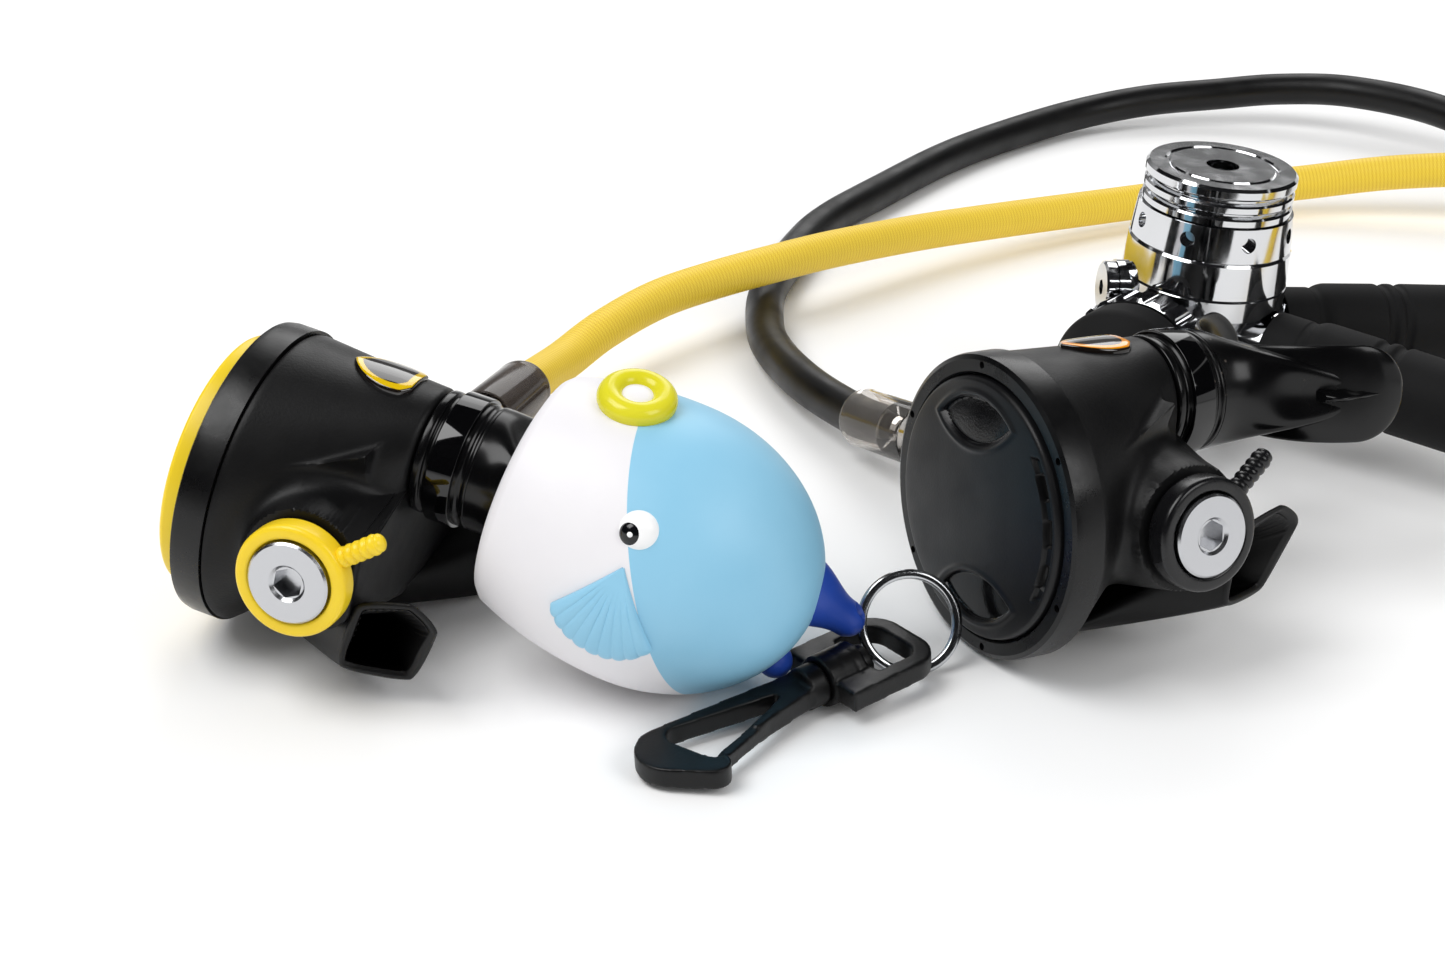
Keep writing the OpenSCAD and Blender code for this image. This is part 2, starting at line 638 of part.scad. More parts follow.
module stage_main_spring() {
    translate([0, 0, body_top + 3.1]) coil(9.6, 1.3, cap_z - body_top, 2);
}

module stage_diaphragm() {
    translate([0, 0, body_top]) cylinder(r = 16.9, h = seam);
    translate([0, 0, body_top - 1]) cylinder(r = 15.6, h = 1);
    translate([0, 0, body_top + seam]) cylinder(r = 12, h = 2.5);
}

module stage_lifter() {
    translate([0, 0, 43.6]) cylinder(r = 1.5, h = body_top - 1.1 - 43.6);
}

module stage_poppet() {
    translate([0, 0, 33]) cylinder(r = 4, h = 9.4);
    translate([0, 0, 42.4]) cylinder(r1 = 3.4, r2 = 1.5, h = 1.2);
}

module stage_seat_spring() {
    translate([0, 0, 9.1]) coil(2.9, 0.5, 23.8, 8);
}

module stage_filter() {
    port(din_dir, din_z) translate([0, 0, wheel_x + wheel_w + 5.1]) cylinder(r = 4.9, h = 2.5);
}

module stage_din_stem() {
    port(din_dir, din_z) difference() {
        union() {
            translate([0, 0, 14.2]) cylinder(r = 7, h = 12);
            translate([0, 0, 22.1]) cylinder(r = 10, h = 3.6);
            translate([0, 0, 25]) cylinder(r = 8, h = wheel_x + wheel_w + thread_l - 27);
        }
        cylinder(r = 2.5, h = 80);
        translate([0, 0, wheel_x + wheel_w + 5]) cylinder(r = 5, h = 30);
    }
}

// Handwheel: grip rim with flutes, and the threaded spigot
module stage_din_wheel() {
    port(din_dir, din_z) difference() {
        union() {
            translate([0, 0, wheel_x]) cylinder(r1 = wheel_r - 1, r2 = wheel_r, h = 1);
            translate([0, 0, wheel_x + 1]) cylinder(r = wheel_r, h = wheel_w - 2);
            translate([0, 0, wheel_x + wheel_w - 1]) cylinder(r1 = wheel_r, r2 = wheel_r - 1, h = 1);
            translate([0, 0, wheel_x + wheel_w - 0.5]) cylinder(r = thread_r, h = thread_l + 0.5);
        }
        translate([0, 0, wheel_x - 1]) cylinder(r = 8 + fit, h = 60);
        for (k = [0 : grips - 1])
            rotate([0, 0, 360 * k / grips]) translate([wheel_r + 1, 0, wheel_x - 1])
                cylinder(r = 1.9, h = wheel_w + 2, $fn = 16);
    }
}

module stage_dust_cap() {
    port(din_dir, din_z) translate([0, 0, wheel_x + wheel_w + 0.2]) difference() {
        union() {
            cylinder(r = dust_r, h = thread_l - 5);
            translate([0, 0, thread_l - 5]) cylinder(r1 = dust_r, r2 = dust_r - 6, h = 8);
        }
        translate([0, 0, -1]) cylinder(r = thread_r + gap, h = thread_l + 1.6);
        rotate([0, 0, 180]) translate([dust_r - 1, 0, 10]) sphere(r = 2.2, $fn = 24);
    }
}

module hex_plug(r) {
    difference() {
        union() {
            cylinder(r = 4.4, h = 5);
            translate([0, 0, 5]) cylinder(r = r, h = 2.6);
            translate([0, 0, 7.6]) cylinder(r1 = r, r2 = r - 0.6, h = 0.6);
        }
        translate([0, 0, 6]) hex(4, 4);
    }
}
module stage_port_plugs() {
    port(plug_dir, plug_z) translate([0, 0, 20.2]) hex_plug(7.4);
    port(rear_dir, rear_z) translate([0, 0, 15.2]) hex_plug(7.4);
}

// ---------- Hose ends at the first stage ----------

module at_upper() { at_stage() port(upper_dir, port_z) translate([0, 0, port_face]) children(); }
module at_lower() { at_stage() port(lower_dir, port_z) translate([0, 0, port_face]) children(); }

module port_end() {
    difference() {
        union() {
            translate([0, 0, -7]) cylinder(r = 4.4, h = 8);
            translate([0, 0, 0.1]) nut_and_ferrule();
        }
        translate([0, 0, -8]) cylinder(r = 2.4, h = fitting_l);
    }
}

// Ribbed rubber guard over the nut, the ferrule and the first stretch of hose
guard_start = 5;
module guard() {
    big = guard_d / 2;
    over_nut = nut_flats / sqrt(3) + gap;
    past_nut = nut_l + 0.4 - guard_start;
    past_ferrule = fitting_l + 1 - guard_start;
    translate([0, 0, guard_start]) rotate_extrude($fn = 72) polygon([
        [over_nut, 0], [big - 1.1, 0], [big - 1.1, 5], [big - 1.4, 5.4], [big - 1.4, 6.6],
        [big - 0.6, 8.2], [big, 9.8], [big, 25.6], [big - 0.9, 26.4], [big - 0.9, 28], [big, 28.8],
        [big, 30.4], [big - 0.9, 31.2], [big - 0.9, 32.8], [big, 33.6], [big - 0.6, guard_l - 8],
        [big - 3, guard_l], [hose_d / 2 + gap, guard_l], [hose_d / 2 + gap, past_ferrule],
        [ferrule_d / 2 + gap, past_ferrule - 1], [ferrule_d / 2 + gap, past_nut], [over_nut, past_nut - 0.4]]);
}

// ---------- Hoses ----------

// A point on the hose's straight start at a second stage, and at the first stage
function stage_exit(at, turn, x) = set_shift + at + turned(turn, [x, barrel_y, barrel_z]);
function port_exit(dir, out) = set_shift + stage_at
    + turned(stage_lean, [cos(dir) * out, sin(dir) * out, port_z]);
module hose(at, turn, route, dir) {
    start_x = -stub_x - 0.1 - fitting_l;
    end_out = port_face + 0.1 + fitting_l;
    pts = smooth(concat(
        [stage_exit(at, turn, start_x), stage_exit(at, turn, start_x - 22)],
        [for (p = route) p + set_shift],
        [for (out = [80, 60, 30, 0]) port_exit(dir, end_out + out)]), 2);
    echo(str("hose length ", route_length(pts)));
    tube_along(pts, hose_d / 2, 12,
        turned(turn, [-1, 0, 0]), -turned(stage_lean, [cos(dir), sin(dir), 0]));
}

// ---------- Holder and clip ----------

// Radius of the holder at a distance from its mouth
widest = 0.52;
function holder_radius(y, r, l) =
    y < widest * l ? r * sqrt(1 - pow((y - widest * l) / (l * 0.69), 2))
    : r * sqrt(max(0, 1 - pow((y - widest * l) / (l * (1 - widest)), 2)));

module holder_form(r, l, skip) {
    rotate([-90, 0, 0]) rotate_extrude($fn = 72) polygon(concat(
        [[0, skip]],
        [for (i = [0 : 28]) let (y = skip + (l - skip) * sin(90 * i / 28))
            [i == 28 ? 0 : holder_radius(y, r, l), y]]));
}

module fin(length, width, thick) {
    difference() {
        linear_extrude(thick) intersection() {
            circle(r = length);
            translate([length * 0.72, 0]) circle(r = width);
        }
        for (a = [-30 : 12 : 30])
            rotate([0, 0, a]) translate([length * 0.3, -0.3, thick - 0.5]) cube([length, 0.6, 1]);
    }
}

module at_holder() {
    at_octo() translate([0, tube_end - 1, tube_z]) rotate([holder_droop, 0, 0]) children();
}

module holder() {
    difference() {
        union() {
            holder_form(holder_r, holder_l, 0);
            for (side = [-1, 1]) {
                translate([side * (holder_r - 3.5), holder_l * 0.41, 4]) sphere(r = 5.2, $fn = 32);
                translate([side * (holder_r - 4.5), holder_l * 0.42, -6])
                    rotate([0, side * 78, 0]) rotate([0, 0, side > 0 ? -106 : -74]) fin(26, 12.5, 3.2);
            }
            translate([0, holder_l * 0.38, holder_r - 2]) rotate([8, 0, 0]) rotate_extrude($fn = 48)
                translate([5.6, 0]) circle(r = 2.6, $fn = 24);
            translate([0, holder_l * 0.38, holder_r - 2.6]) rotate([8, 0, 0]) cylinder(r = 5, h = 2);
            hull() {
                translate([-3, holder_l - 12, 0]) sphere(r = 6, $fn = 24);
                translate(tail_hole_at + [1, -1.5, 0.5]) sphere(r = 4.6, $fn = 24);
            }
            hull() {
                translate([2, holder_l - 16, -8]) sphere(r = 6, $fn = 24);
                translate([3, holder_l - 8, -14.6]) sphere(r = 3.6, $fn = 24);
            }
        }
        holder_form(holder_r - holder_wall, holder_l - holder_wall, -1);
        rotate([-90, 0, 0]) translate([0, 0, -2]) cylinder(r = neck_r + 0.6, h = 20);
        translate(tail_hole_at) rotate(tail_hole_turn) translate([0, 0, -12]) cylinder(r = 2.3, h = 24);
    }
}

module mouth_lip() {
    rotate([-90, 0, 0]) difference() {
        cylinder(r = neck_r + 7.1, h = holder_wall);
        translate([0, 0, -1]) cylinder(r = neck_r + 0.6, h = 10);
    }
}

module split_wire() {
    in_set() translate(ring_at) rotate(ring_turn)
        for (side = [-1, 1])
            translate([0, 0, side * wire_d * 0.24])
                rotate_extrude() translate([split_r, 0]) circle(r = wire_d / 2, $fn = 20);
}

module at_clip() { in_set() translate(clip_at) rotate(clip_turn) children(); }

eye_x = -21.5;
eye_half = 12.5;
bar_w = 4.4;
module eye() {
    difference() {
        union() {
            translate([0, 0, -clip_t / 2]) linear_extrude(clip_t) difference() {
                union() {
                    for (side = [-1, 1])
                        translate([eye_x + 6, side * (eye_half - 8.2)]) circle(r = 8.2);
                    translate([eye_x + 6, -eye_half]) square([-eye_x - 2, 2 * eye_half]);
                    translate([eye_x - 2.2, -eye_half + 8.2]) square([10, 2 * eye_half - 16.4]);
                }
                for (side = [-1, 1])
                    translate([eye_x + 6, side * (eye_half - 8.2)]) circle(r = 8.2 - bar_w);
                translate([eye_x + 6, -eye_half + bar_w]) square([-eye_x - 13, 2 * (eye_half - bar_w)]);
                translate([eye_x - 2.2 + bar_w, -eye_half + 8.2]) square([10, 2 * eye_half - 16.4]);
            }
            translate([-6, 0, 0]) rotate([0, 90, 0]) cylinder(r = socket_r, h = 10.4);
        }
        translate([-8, 0, 0]) rotate([0, 90, 0]) cylinder(r = 3 + fit, h = 14);
        translate([-12, 0, 0]) rotate([0, 90, 0]) cylinder(r = 4.6, h = 6);
        for (x = [-3.6, 0, 3.2])
            translate([x, 0, 0]) rotate([0, 90, 0]) difference() {
                cylinder(r = socket_r + 1, h = 0.6);
                translate([0, 0, -1]) cylinder(r = socket_r - 0.4, h = 3);
            }
    }
}

// Teardrop hook, with its spring gate moulded in one with it
module hook() {
    tip = hook_l;
    translate([-9.2, 0, 0]) rotate([0, 90, 0]) cylinder(r = 4.3, h = 2.9);
    translate([-7, 0, 0]) rotate([0, 90, 0]) cylinder(r = 3, h = 13);
    translate([4.7, 0, 0]) rotate([0, 90, 0]) cylinder(r = 5.2, h = 5);
    translate([0, 0, -clip_t / 2]) linear_extrude(clip_t) difference() {
        union() {
            hull() {
                translate([10, 0]) circle(r = 4.6);
                translate([tip - 9, 2]) circle(r = 9);
            }
            hull() {
                translate([tip - 9, 2]) circle(r = 9);
                translate([tip - 12, 12]) circle(r = 4);
            }
        }
        hull() {
            translate([18, 1]) circle(r = 1);
            translate([tip - 13, -1]) circle(r = 3.4);
            translate([tip - 15, 8.6]) circle(r = 2.6);
        }
        translate([tip - 26, 4.5]) rotate([0, 0, 28]) square([10.4, 4.5]);
    }
    translate([0, 0, -clip_t / 2 + 0.6]) linear_extrude(clip_t - 1.2) hull() {
        translate([16, 3.2]) circle(r = 1.3);
        translate([tip - 15.6, 10.8]) circle(r = 1.3);
    }
}

// ---------- Nodes ----------

module main_case() { color("#1b1b1d") at_main() second_case(); }
module main_ring() { color("#101012") at_main() second_ring(); }
module main_purge_cover() { color("#222225") at_main() second_cover(0.7); }
module main_diaphragm() { color("#9aa0a6") at_main() second_diaphragm(); }
module main_demand_lever() { color("#c8ccd0") at_main() second_lever(); }
module main_valve_barrel() { color("#c0c4c8") at_main() second_barrel(); }
module main_poppet() { color("#e6e6e0") at_main() second_poppet(); }
module main_poppet_spring() { color("#b0b4b8") at_main() second_spring(); }
module main_orifice() { color("#d0b060") at_main() second_orifice(); }
module main_end_plug() { color("#d8dadd") at_main() second_plug(); }
module main_venturi_lever() { color("#151517") at_main() second_collar(); }
module main_exhaust_valve() { color("#3a3a3e") at_main() second_exhaust_valve(); }
module main_exhaust_tee() { color("#151516") at_main() second_tee(); }
module main_mouthpiece() { color("#0c0c0e") at_main() second_mouthpiece(bite_w); }
module main_mouthpiece_band() { color("#08080a") at_main() second_band(); }
module main_badge() { color("#d39a1c") at_main() second_badge(); }
module main_hose_nut() { color("#d8dadd") at_main() second_nut(); }
module main_hose_sleeve() { color("#8d8378") at_main() second_sleeve(); }

module octo_case() { color("#1b1b1d") at_octo() second_case(); }
module octo_ring() { color("#101012") at_octo() second_ring(); }
module octo_purge_cover() { color("#f3d21a") at_octo() second_cover(4.6); }
module octo_diaphragm() { color("#9aa0a6") at_octo() second_diaphragm(); }
module octo_demand_lever() { color("#c8ccd0") at_octo() second_lever(); }
module octo_valve_barrel() { color("#c0c4c8") at_octo() second_barrel(); }
module octo_poppet() { color("#e6e6e0") at_octo() second_poppet(); }
module octo_poppet_spring() { color("#b0b4b8") at_octo() second_spring(); }
module octo_orifice() { color("#d0b060") at_octo() second_orifice(); }
module octo_end_plug() { color("#d8dadd") at_octo() second_plug(); }
module octo_venturi_lever() { color("#f5d616") at_octo() second_collar(); }
module octo_exhaust_valve() { color("#3a3a3e") at_octo() second_exhaust_valve(); }
module octo_exhaust_tee() { color("#151516") at_octo() second_tee(); }
module octo_mouthpiece() { color("#0c0c0e") at_octo() second_mouthpiece(held_bite_w); }
module octo_mouthpiece_band() { color("#08080a") at_octo() second_band(); }
module octo_badge() { color("#e8c81c") at_octo() second_badge(); }
module octo_hose_nut() { color("#d8dadd") at_octo() second_nut(); }
module octo_hose_sleeve() { color("#8d8378") at_octo() second_sleeve(); }

module fs_body() { color("#c9ccd0") at_stage() stage_body(); }
module fs_clamp_ring() { color("#c4c7cb") at_stage() stage_clamp_ring(); }
module fs_cap() { color("#d2d4d8") at_stage() stage_cap(); }
module fs_adjuster() { color("#b8bcc0") at_stage() stage_adjuster(); }
module fs_main_spring() { color("#9ea2a6") at_stage() stage_main_spring(); }
module fs_diaphragm() { color("#2a2a2c") at_stage() stage_diaphragm(); }
module fs_lifter() { color("#b8bcc0") at_stage() stage_lifter(); }
module fs_seat_poppet() { color("#c8ccd0") at_stage() stage_poppet(); }
module fs_seat_spring() { color("#9ea2a6") at_stage() stage_seat_spring(); }
module fs_filter() { color("#a98f5a") at_stage() stage_filter(); }
module fs_din_stem() { color("#c9ccd0") at_stage() stage_din_stem(); }
module fs_din_wheel() { color("#c4c7cb") at_stage() stage_din_wheel(); }
module fs_dust_cap() { color("#18181a") at_stage() stage_dust_cap(); }
module fs_port_plugs() { color("#c9ccd0") at_stage() stage_port_plugs(); }
module main_hose_end() { color("#c9ccd0") at_upper() port_end(); }
module octo_hose_end() { color("#c9ccd0") at_lower() port_end(); }
module main_guard() { color("#232325") at_upper() guard(); }
module octo_guard() { color("#232325") at_lower() guard(); }

module main_hose() { color("#1c1c1e") hose(main_at, main_turn, MAIN_ROUTE, upper_dir); }
module octo_hose() { color("#f0c91e") hose(octo_at, octo_turn, OCTO_ROUTE, lower_dir); }
module holder_body() {
    color("#8cc7e4") at_holder() {
        holder();
        mouth_lip();
    }
}
module split_ring() { color("#b9bcc0") split_wire(); }
module clip_eye() { color("#1a1a1c") at_clip() eye(); }
module clip_hook() { color("#1a1a1c") at_clip() hook(); }

main_case();
main_ring();
main_purge_cover();
main_diaphragm();
main_demand_lever();
main_valve_barrel();
main_poppet();
main_poppet_spring();
main_orifice();
main_end_plug();
main_venturi_lever();
main_exhaust_valve();
main_exhaust_tee();
main_mouthpiece();
main_mouthpiece_band();
main_badge();
main_hose_nut();
main_hose_sleeve();
octo_case();
octo_ring();
octo_purge_cover();
octo_diaphragm();
octo_demand_lever();
octo_valve_barrel();
octo_poppet();
octo_poppet_spring();
octo_orifice();
octo_end_plug();
octo_venturi_lever();
octo_exhaust_valve();
octo_exhaust_tee();
octo_mouthpiece();
octo_mouthpiece_band();
octo_badge();
octo_hose_nut();
octo_hose_sleeve();
fs_body();
fs_clamp_ring();
fs_cap();
fs_adjuster();
fs_main_spring();
fs_diaphragm();
fs_lifter();
fs_seat_poppet();
fs_seat_spring();
fs_filter();
fs_din_stem();
fs_din_wheel();
fs_dust_cap();
fs_port_plugs();
main_hose_end();
octo_hose_end();
main_guard();
octo_guard();
main_hose();
octo_hose();
holder_body();
split_ring();
clip_eye();
clip_hook();
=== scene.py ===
import math
import bpy
import numpy as np
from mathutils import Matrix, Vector


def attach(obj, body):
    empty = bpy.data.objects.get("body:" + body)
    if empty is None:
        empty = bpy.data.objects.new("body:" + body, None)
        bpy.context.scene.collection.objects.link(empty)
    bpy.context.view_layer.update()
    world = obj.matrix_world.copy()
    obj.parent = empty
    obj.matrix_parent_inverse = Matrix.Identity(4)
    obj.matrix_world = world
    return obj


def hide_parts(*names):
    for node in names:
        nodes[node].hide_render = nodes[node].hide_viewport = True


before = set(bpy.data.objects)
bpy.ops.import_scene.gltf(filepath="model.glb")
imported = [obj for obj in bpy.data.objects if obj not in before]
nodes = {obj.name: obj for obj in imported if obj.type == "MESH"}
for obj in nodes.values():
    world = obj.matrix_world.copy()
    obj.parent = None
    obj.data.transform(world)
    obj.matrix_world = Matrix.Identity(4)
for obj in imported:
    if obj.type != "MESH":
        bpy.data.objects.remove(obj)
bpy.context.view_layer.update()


# ------------------------ studio
# A white table under three soft lamps. Dark cards that only mirrors see
# give the chrome its bands, as a photographer's flags do.
def linear(colour):
    """An sRGB hex colour as linear red, green, blue and 1."""
    parts = [int(colour[i:i + 2], 16) / 255 for i in (1, 3, 5)]
    return [p / 12.92 if p <= 0.04045 else ((p + 0.055) / 1.055) ** 2.4 for p in parts] + [1.0]


def add(tree, kind, settings={}, links={}):
    """Adds a node: settings go to its sockets or, if it has none so named, to the node itself;
    links feed its sockets from (node, output)."""
    made = tree.nodes.new("ShaderNode" + kind)
    for name, value in settings.items():
        if isinstance(name, int) or name in made.inputs:
            made.inputs[name].default_value = value
        else:
            setattr(made, name, value)
    for name, (source, output) in links.items():
        tree.links.new(source.outputs[output], made.inputs[name])
    return made


def feed(shader, socket, source, output=0):
    """Links a node's output to a socket of the shader."""
    shader.id_data.links.new(source.outputs[output], shader.inputs[socket])


def put(name, data):
    """A new object in the scene."""
    made = bpy.data.objects.new(name, data)
    bpy.context.scene.collection.objects.link(made)
    return made


def finish_of(name, **sockets):
    """A new material with one Principled shader; returns the material, its tree and the shader."""
    material = bpy.data.materials.new(name)
    material.use_nodes = True
    tree = material.node_tree
    shader = tree.nodes["Principled BSDF"]
    for socket, value in sockets.items():
        shader.inputs[socket.replace("_", " ")].default_value = value
    return material, tree, shader


MM = 0.001
SET_SHIFT = np.array([-61, 43.4, 0])

# A long lens: its focal length in widths of the picture, and its tilt down in degrees
SENSOR_MM, FOCAL_SHARE, TILT = 36, 2430 / 1445, 26.4
lens = bpy.data.cameras.new("camera")
lens.sensor_width = SENSOR_MM
lens.lens = FOCAL_SHARE * SENSOR_MM
camera = put("camera", lens)
camera.location = Vector((np.array([0, -596.3, 296]) + SET_SHIFT) * MM)
camera.rotation_euler = (math.radians(90 - TILT), 0, 0)
bpy.context.scene.camera = camera

# Each lamp: its name, its place and its side in metres, and its power in watts
for name, place, size, power in (
        ("key", (-0.7, -0.3, 1.2), 0.8, 11.0),
        ("fill", (0.95, -0.75, 0.95), 0.7, 6.0),
        ("back", (0.15, 1.3, 1.0), 1.0, 8.0)):
    lamp = bpy.data.lights.new(name, "AREA")
    lamp.shape = "SQUARE"
    lamp.size = size
    lamp.energy = power
    holder = put(name, lamp)
    holder.location = place
    holder.rotation_euler = (Vector((0, 0, 0.03)) - Vector(place)).to_track_quat("-Z", "Y").to_euler()

world = bpy.data.worlds.new("studio")
bpy.context.scene.world = world
world.use_nodes = True
sky = world.node_tree
seen = add(sky, "LightPath")
white = sky.nodes["Background"]
white.inputs["Color"].default_value = (1, 1, 1, 1)
either = add(sky, "Math", {"operation": "MAXIMUM"},
             {0: (seen, "Is Camera Ray"), 1: (seen, "Is Transmission Ray")})
# White to the camera, light grey in mirrors, darker still as light
grey = add(sky, "MapRange", {"To Min": 0.46, "To Max": 0.72}, {"Value": (seen, "Is Glossy Ray")})
level = add(sky, "Math", {"operation": "MAXIMUM"}, {0: (either, 0), 1: (grey, 0)})
feed(white, "Strength", level)

bpy.context.scene.view_settings.view_transform = "Standard"

table_top = bpy.data.meshes.new("table")
table_top.from_pydata([(-4, -3, 0), (4, -3, 0), (4, 5, 0), (-4, 5, 0)], [], [(0, 1, 2, 3)])
table = put("table", table_top)
paper, paper_tree, paper_shader = finish_of(
    "white_paper", Base_Color=linear("#fcfcfc"), Roughness=0.9, Specular_IOR_Level=0.1)
# To the camera alone the paper fades into the white behind it, from 0.6 to 1.3 m out
spot = add(paper_tree, "TexCoord")
far_out = add(paper_tree, "VectorMath", {"operation": "LENGTH"}, {0: (spot, "Object")})
fade = add(paper_tree, "MapRange", {"From Min": 0.6, "From Max": 1.3}, {"Value": (far_out, "Value")})
look = add(paper_tree, "LightPath")
glow = add(paper_tree, "Math", {"operation": "MULTIPLY"}, {0: (fade, 0), 1: (look, "Is Camera Ray")})
paper_shader.inputs["Emission Color"].default_value = (1, 1, 1, 1)
feed(paper_shader, "Emission Strength", glow)
table_top.materials.append(paper)

velvet, _, _ = finish_of(
    "black_velvet_flag", Base_Color=linear("#262628"), Roughness=1.0, Specular_IOR_Level=0.0)
# The card behind is no cloth but glows, its grey glow painted darker at its foot: level tops show it as
# a soft gradient
glow_card, glow_card_tree, glow_card_shader = finish_of("glowing_grey_flag", Base_Color=(0, 0, 0, 1), Roughness=1.0,
                                            Specular_IOR_Level=0.0, Emission_Strength=1.0)
place = add(glow_card_tree, "TexCoord")
apart = add(glow_card_tree, "SeparateXYZ", {}, {0: (place, "Object")})
fade = add(glow_card_tree, "MapRange", {"From Min": 0.7, "From Max": 2.0, "To Min": 0.16, "To Max": 0.42},
           {"Value": (apart, 2)})
feed(glow_card_shader, "Emission Color", fade)
# Each card: its name, its middle, and its two half sides, in metres
for name, middle, side_a, side_b in (
        ("flag_roof", (0, 0.3, 2.3), (2.6, 0, 0), (0, 2.6, 0)),
        ("flag_front", (0, -2.2, 1.2), (2.6, 0, 0), (0, 0, 1.15)),
        ("flag_left", (-2.5, 0.3, 1.1), (0, 2.4, 0), (0, 0, 1.0)),
        ("flag_right", (2.5, 0.3, 1.3), (0, 2.4, 0), (0, 0, 0.8)),
        ("flag_rear", (0, 2.8, 1.35), (2.6, 0, 0), (0, 0, 0.95)),
        ("flag_slit", (-0.2, -0.75, 0.75), (0.45, 0, 0.1), (0, 0.12, 0.12))):
    middle, side_a, side_b = (np.array(v, float) for v in (middle, side_a, side_b))
    corners = [tuple(middle + i * side_a + j * side_b) for i, j in ((-1, -1), (1, -1), (1, 1), (-1, 1))]
    sheet = bpy.data.meshes.new(name)
    sheet.from_pydata(corners, [], [(0, 1, 2, 3)])
    sheet.materials.append(glow_card if name == "flag_rear" else velvet)
    card = put(name, sheet)
    card.visible_camera = card.visible_diffuse = card.visible_shadow = card.visible_transmission = False


# ------------------------ hoses
# Low-pressure hoses of 12 mm: black rubber with a wiped, slightly dusty
# skin, and yellow with a woven cover of flat strands. Both are swaged
# into ferrules at the second stages and at the first stage.
def circle(count):
    """Even steps round a circle, in radians."""
    return 2 * math.pi * np.arange(count) / count


def unit(v):
    """Vectors of length 1."""
    return v / np.linalg.norm(v, axis=-1, keepdims=True)


def heading(degrees):
    """A level way, counted from +X towards +Y."""
    return np.array([math.cos(math.radians(degrees)), math.sin(math.radians(degrees)), 0])


def run_along(path):
    """The distance walked at each point of a path."""
    return np.concatenate([[0], np.cumsum(np.linalg.norm(np.diff(path, axis=0), axis=1))])


def turned(angles):
    """The matrix of turns about X, then Y, then Z, in degrees."""
    ax, ay, az = np.radians(angles)
    about_x = np.array([[1, 0, 0], [0, math.cos(ax), -math.sin(ax)], [0, math.sin(ax), math.cos(ax)]])
    about_y = np.array([[math.cos(ay), 0, math.sin(ay)], [0, 1, 0], [-math.sin(ay), 0, math.cos(ay)]])
    about_z = np.array([[math.cos(az), -math.sin(az), 0], [math.sin(az), math.cos(az), 0], [0, 0, 1]])
    return about_z @ about_y @ about_x


MAIN_TURN, MAIN_AT = turned((-4.7, -11.4, -60.6)), SET_SHIFT + (60.7, -89.6, 37.2)
OCTO_TURN, OCTO_AT = turned((-12.5, -6.2, -106.4)), SET_SHIFT + (-115, -71.7, 39.7)
SECOND_STAGES = (("main", MAIN_TURN, MAIN_AT), ("octo", OCTO_TURN, OCTO_AT))
STAGE_TURN, STAGE_AT = turned((0, 4.5, 0)), SET_SHIFT + (130.8, 37.4, 0.47)
PORT_WAYS = {"main": 10, "octo": -37}


def skin(name, rows, material, body, closed=False, wrap=True, loop=False, uv=None, marks={}, corner=38):
    """A surface through rows of points, in millimetres: rows[i, j] is joined to its neighbours in
    both directions, round again in j where wrap is set and in i where loop is set, with a fan over
    each end where closed is set. Its faces are turned outwards by the sign of the volume inside."""
    n, m = rows.shape[:2]
    i, j = np.meshgrid(np.arange(n if loop else n - 1), np.arange(m if wrap else m - 1), indexing="ij")
    k, after = (j + 1) % m, (i + 1) % n
    quads = np.stack([i * m + j, i * m + k, after * m + k, after * m + j], -1).reshape(-1, 4)
    points = rows.reshape(-1, 3)
    fans = np.zeros((0, 3), int)
    for row in (0, n - 1) if closed else ():
        ring = row * m + np.arange(m)
        fan = np.stack([np.roll(ring, -1), ring, np.full(m, len(points))], -1)
        fans = np.vstack([fans, fan if row == 0 else fan[:, ::-1]])
        points = np.vstack([points, rows[row].mean(0)])
    c = points - points.mean(0)
    volume = sum(np.einsum("ij,ij->", c[q[:, 0]], np.cross(c[q[:, 1]], c[q[:, 2]]))
                 for q in (quads[:, [0, 1, 2]], quads[:, [0, 2, 3]], fans))
    if volume < 0:
        quads, fans = quads[:, ::-1], fans[:, ::-1]
    mesh = bpy.data.meshes.new(name)
    mesh.from_pydata((points * MM).tolist(), [], quads.tolist() + fans.tolist())
    mesh.polygons.foreach_set("use_smooth", np.ones(len(mesh.polygons), bool))
    for mark, values in marks.items():
        layer = mesh.attributes.new(mark, "FLOAT", "POINT")
        values = np.broadcast_to(values, (n, m)).ravel()
        layer.data.foreach_set("value", np.concatenate(
            [values, np.full(len(points) - n * m, values[-1])]).astype(np.float32))
    if uv is not None:
        corners = np.empty(len(mesh.loops), np.int32)
        mesh.loops.foreach_get("vertex_index", corners)
        column = corners % m
        flat = np.stack([uv[0][np.minimum(corners // m, n - 1)], column * uv[1] / m], -1)
        face_of = np.repeat(np.arange(len(mesh.polygons)), [p.loop_total for p in mesh.polygons])
        first = np.full(len(mesh.polygons), m)
        np.minimum.at(first, face_of, column)
        last = np.zeros(len(mesh.polygons), int)
        np.maximum.at(last, face_of, column)
        seam = ((last - first)[face_of] > 1) & (column == 0)
        flat[seam, 1] = uv[1]
        layer = mesh.uv_layers.new(name="lay")
        layer.data.foreach_set("uv", flat.astype(np.float32).ravel())
    mesh.set_sharp_from_angle(angle=math.radians(corner))
    mesh.materials.append(material)
    made = put(name, mesh)
    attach(made, body)
    return made


def cubic_spans(p, steps):
    """Points on a smooth curve from p[1] to p[-2], steps to a span: the slope at each of p is
    half the span of its neighbours."""
    t = (np.arange(steps) / steps)[None, :, None]
    a, b, c, d = (p[k:len(p) - 3 + k][:, None, :] for k in range(4))
    return (0.5 * (2 * b + (c - a) * t + (2 * a - 5 * b + 4 * c - d) * t ** 2
                   + (3 * b - a - 3 * c + d) * t ** 3)).reshape(-1, 3)


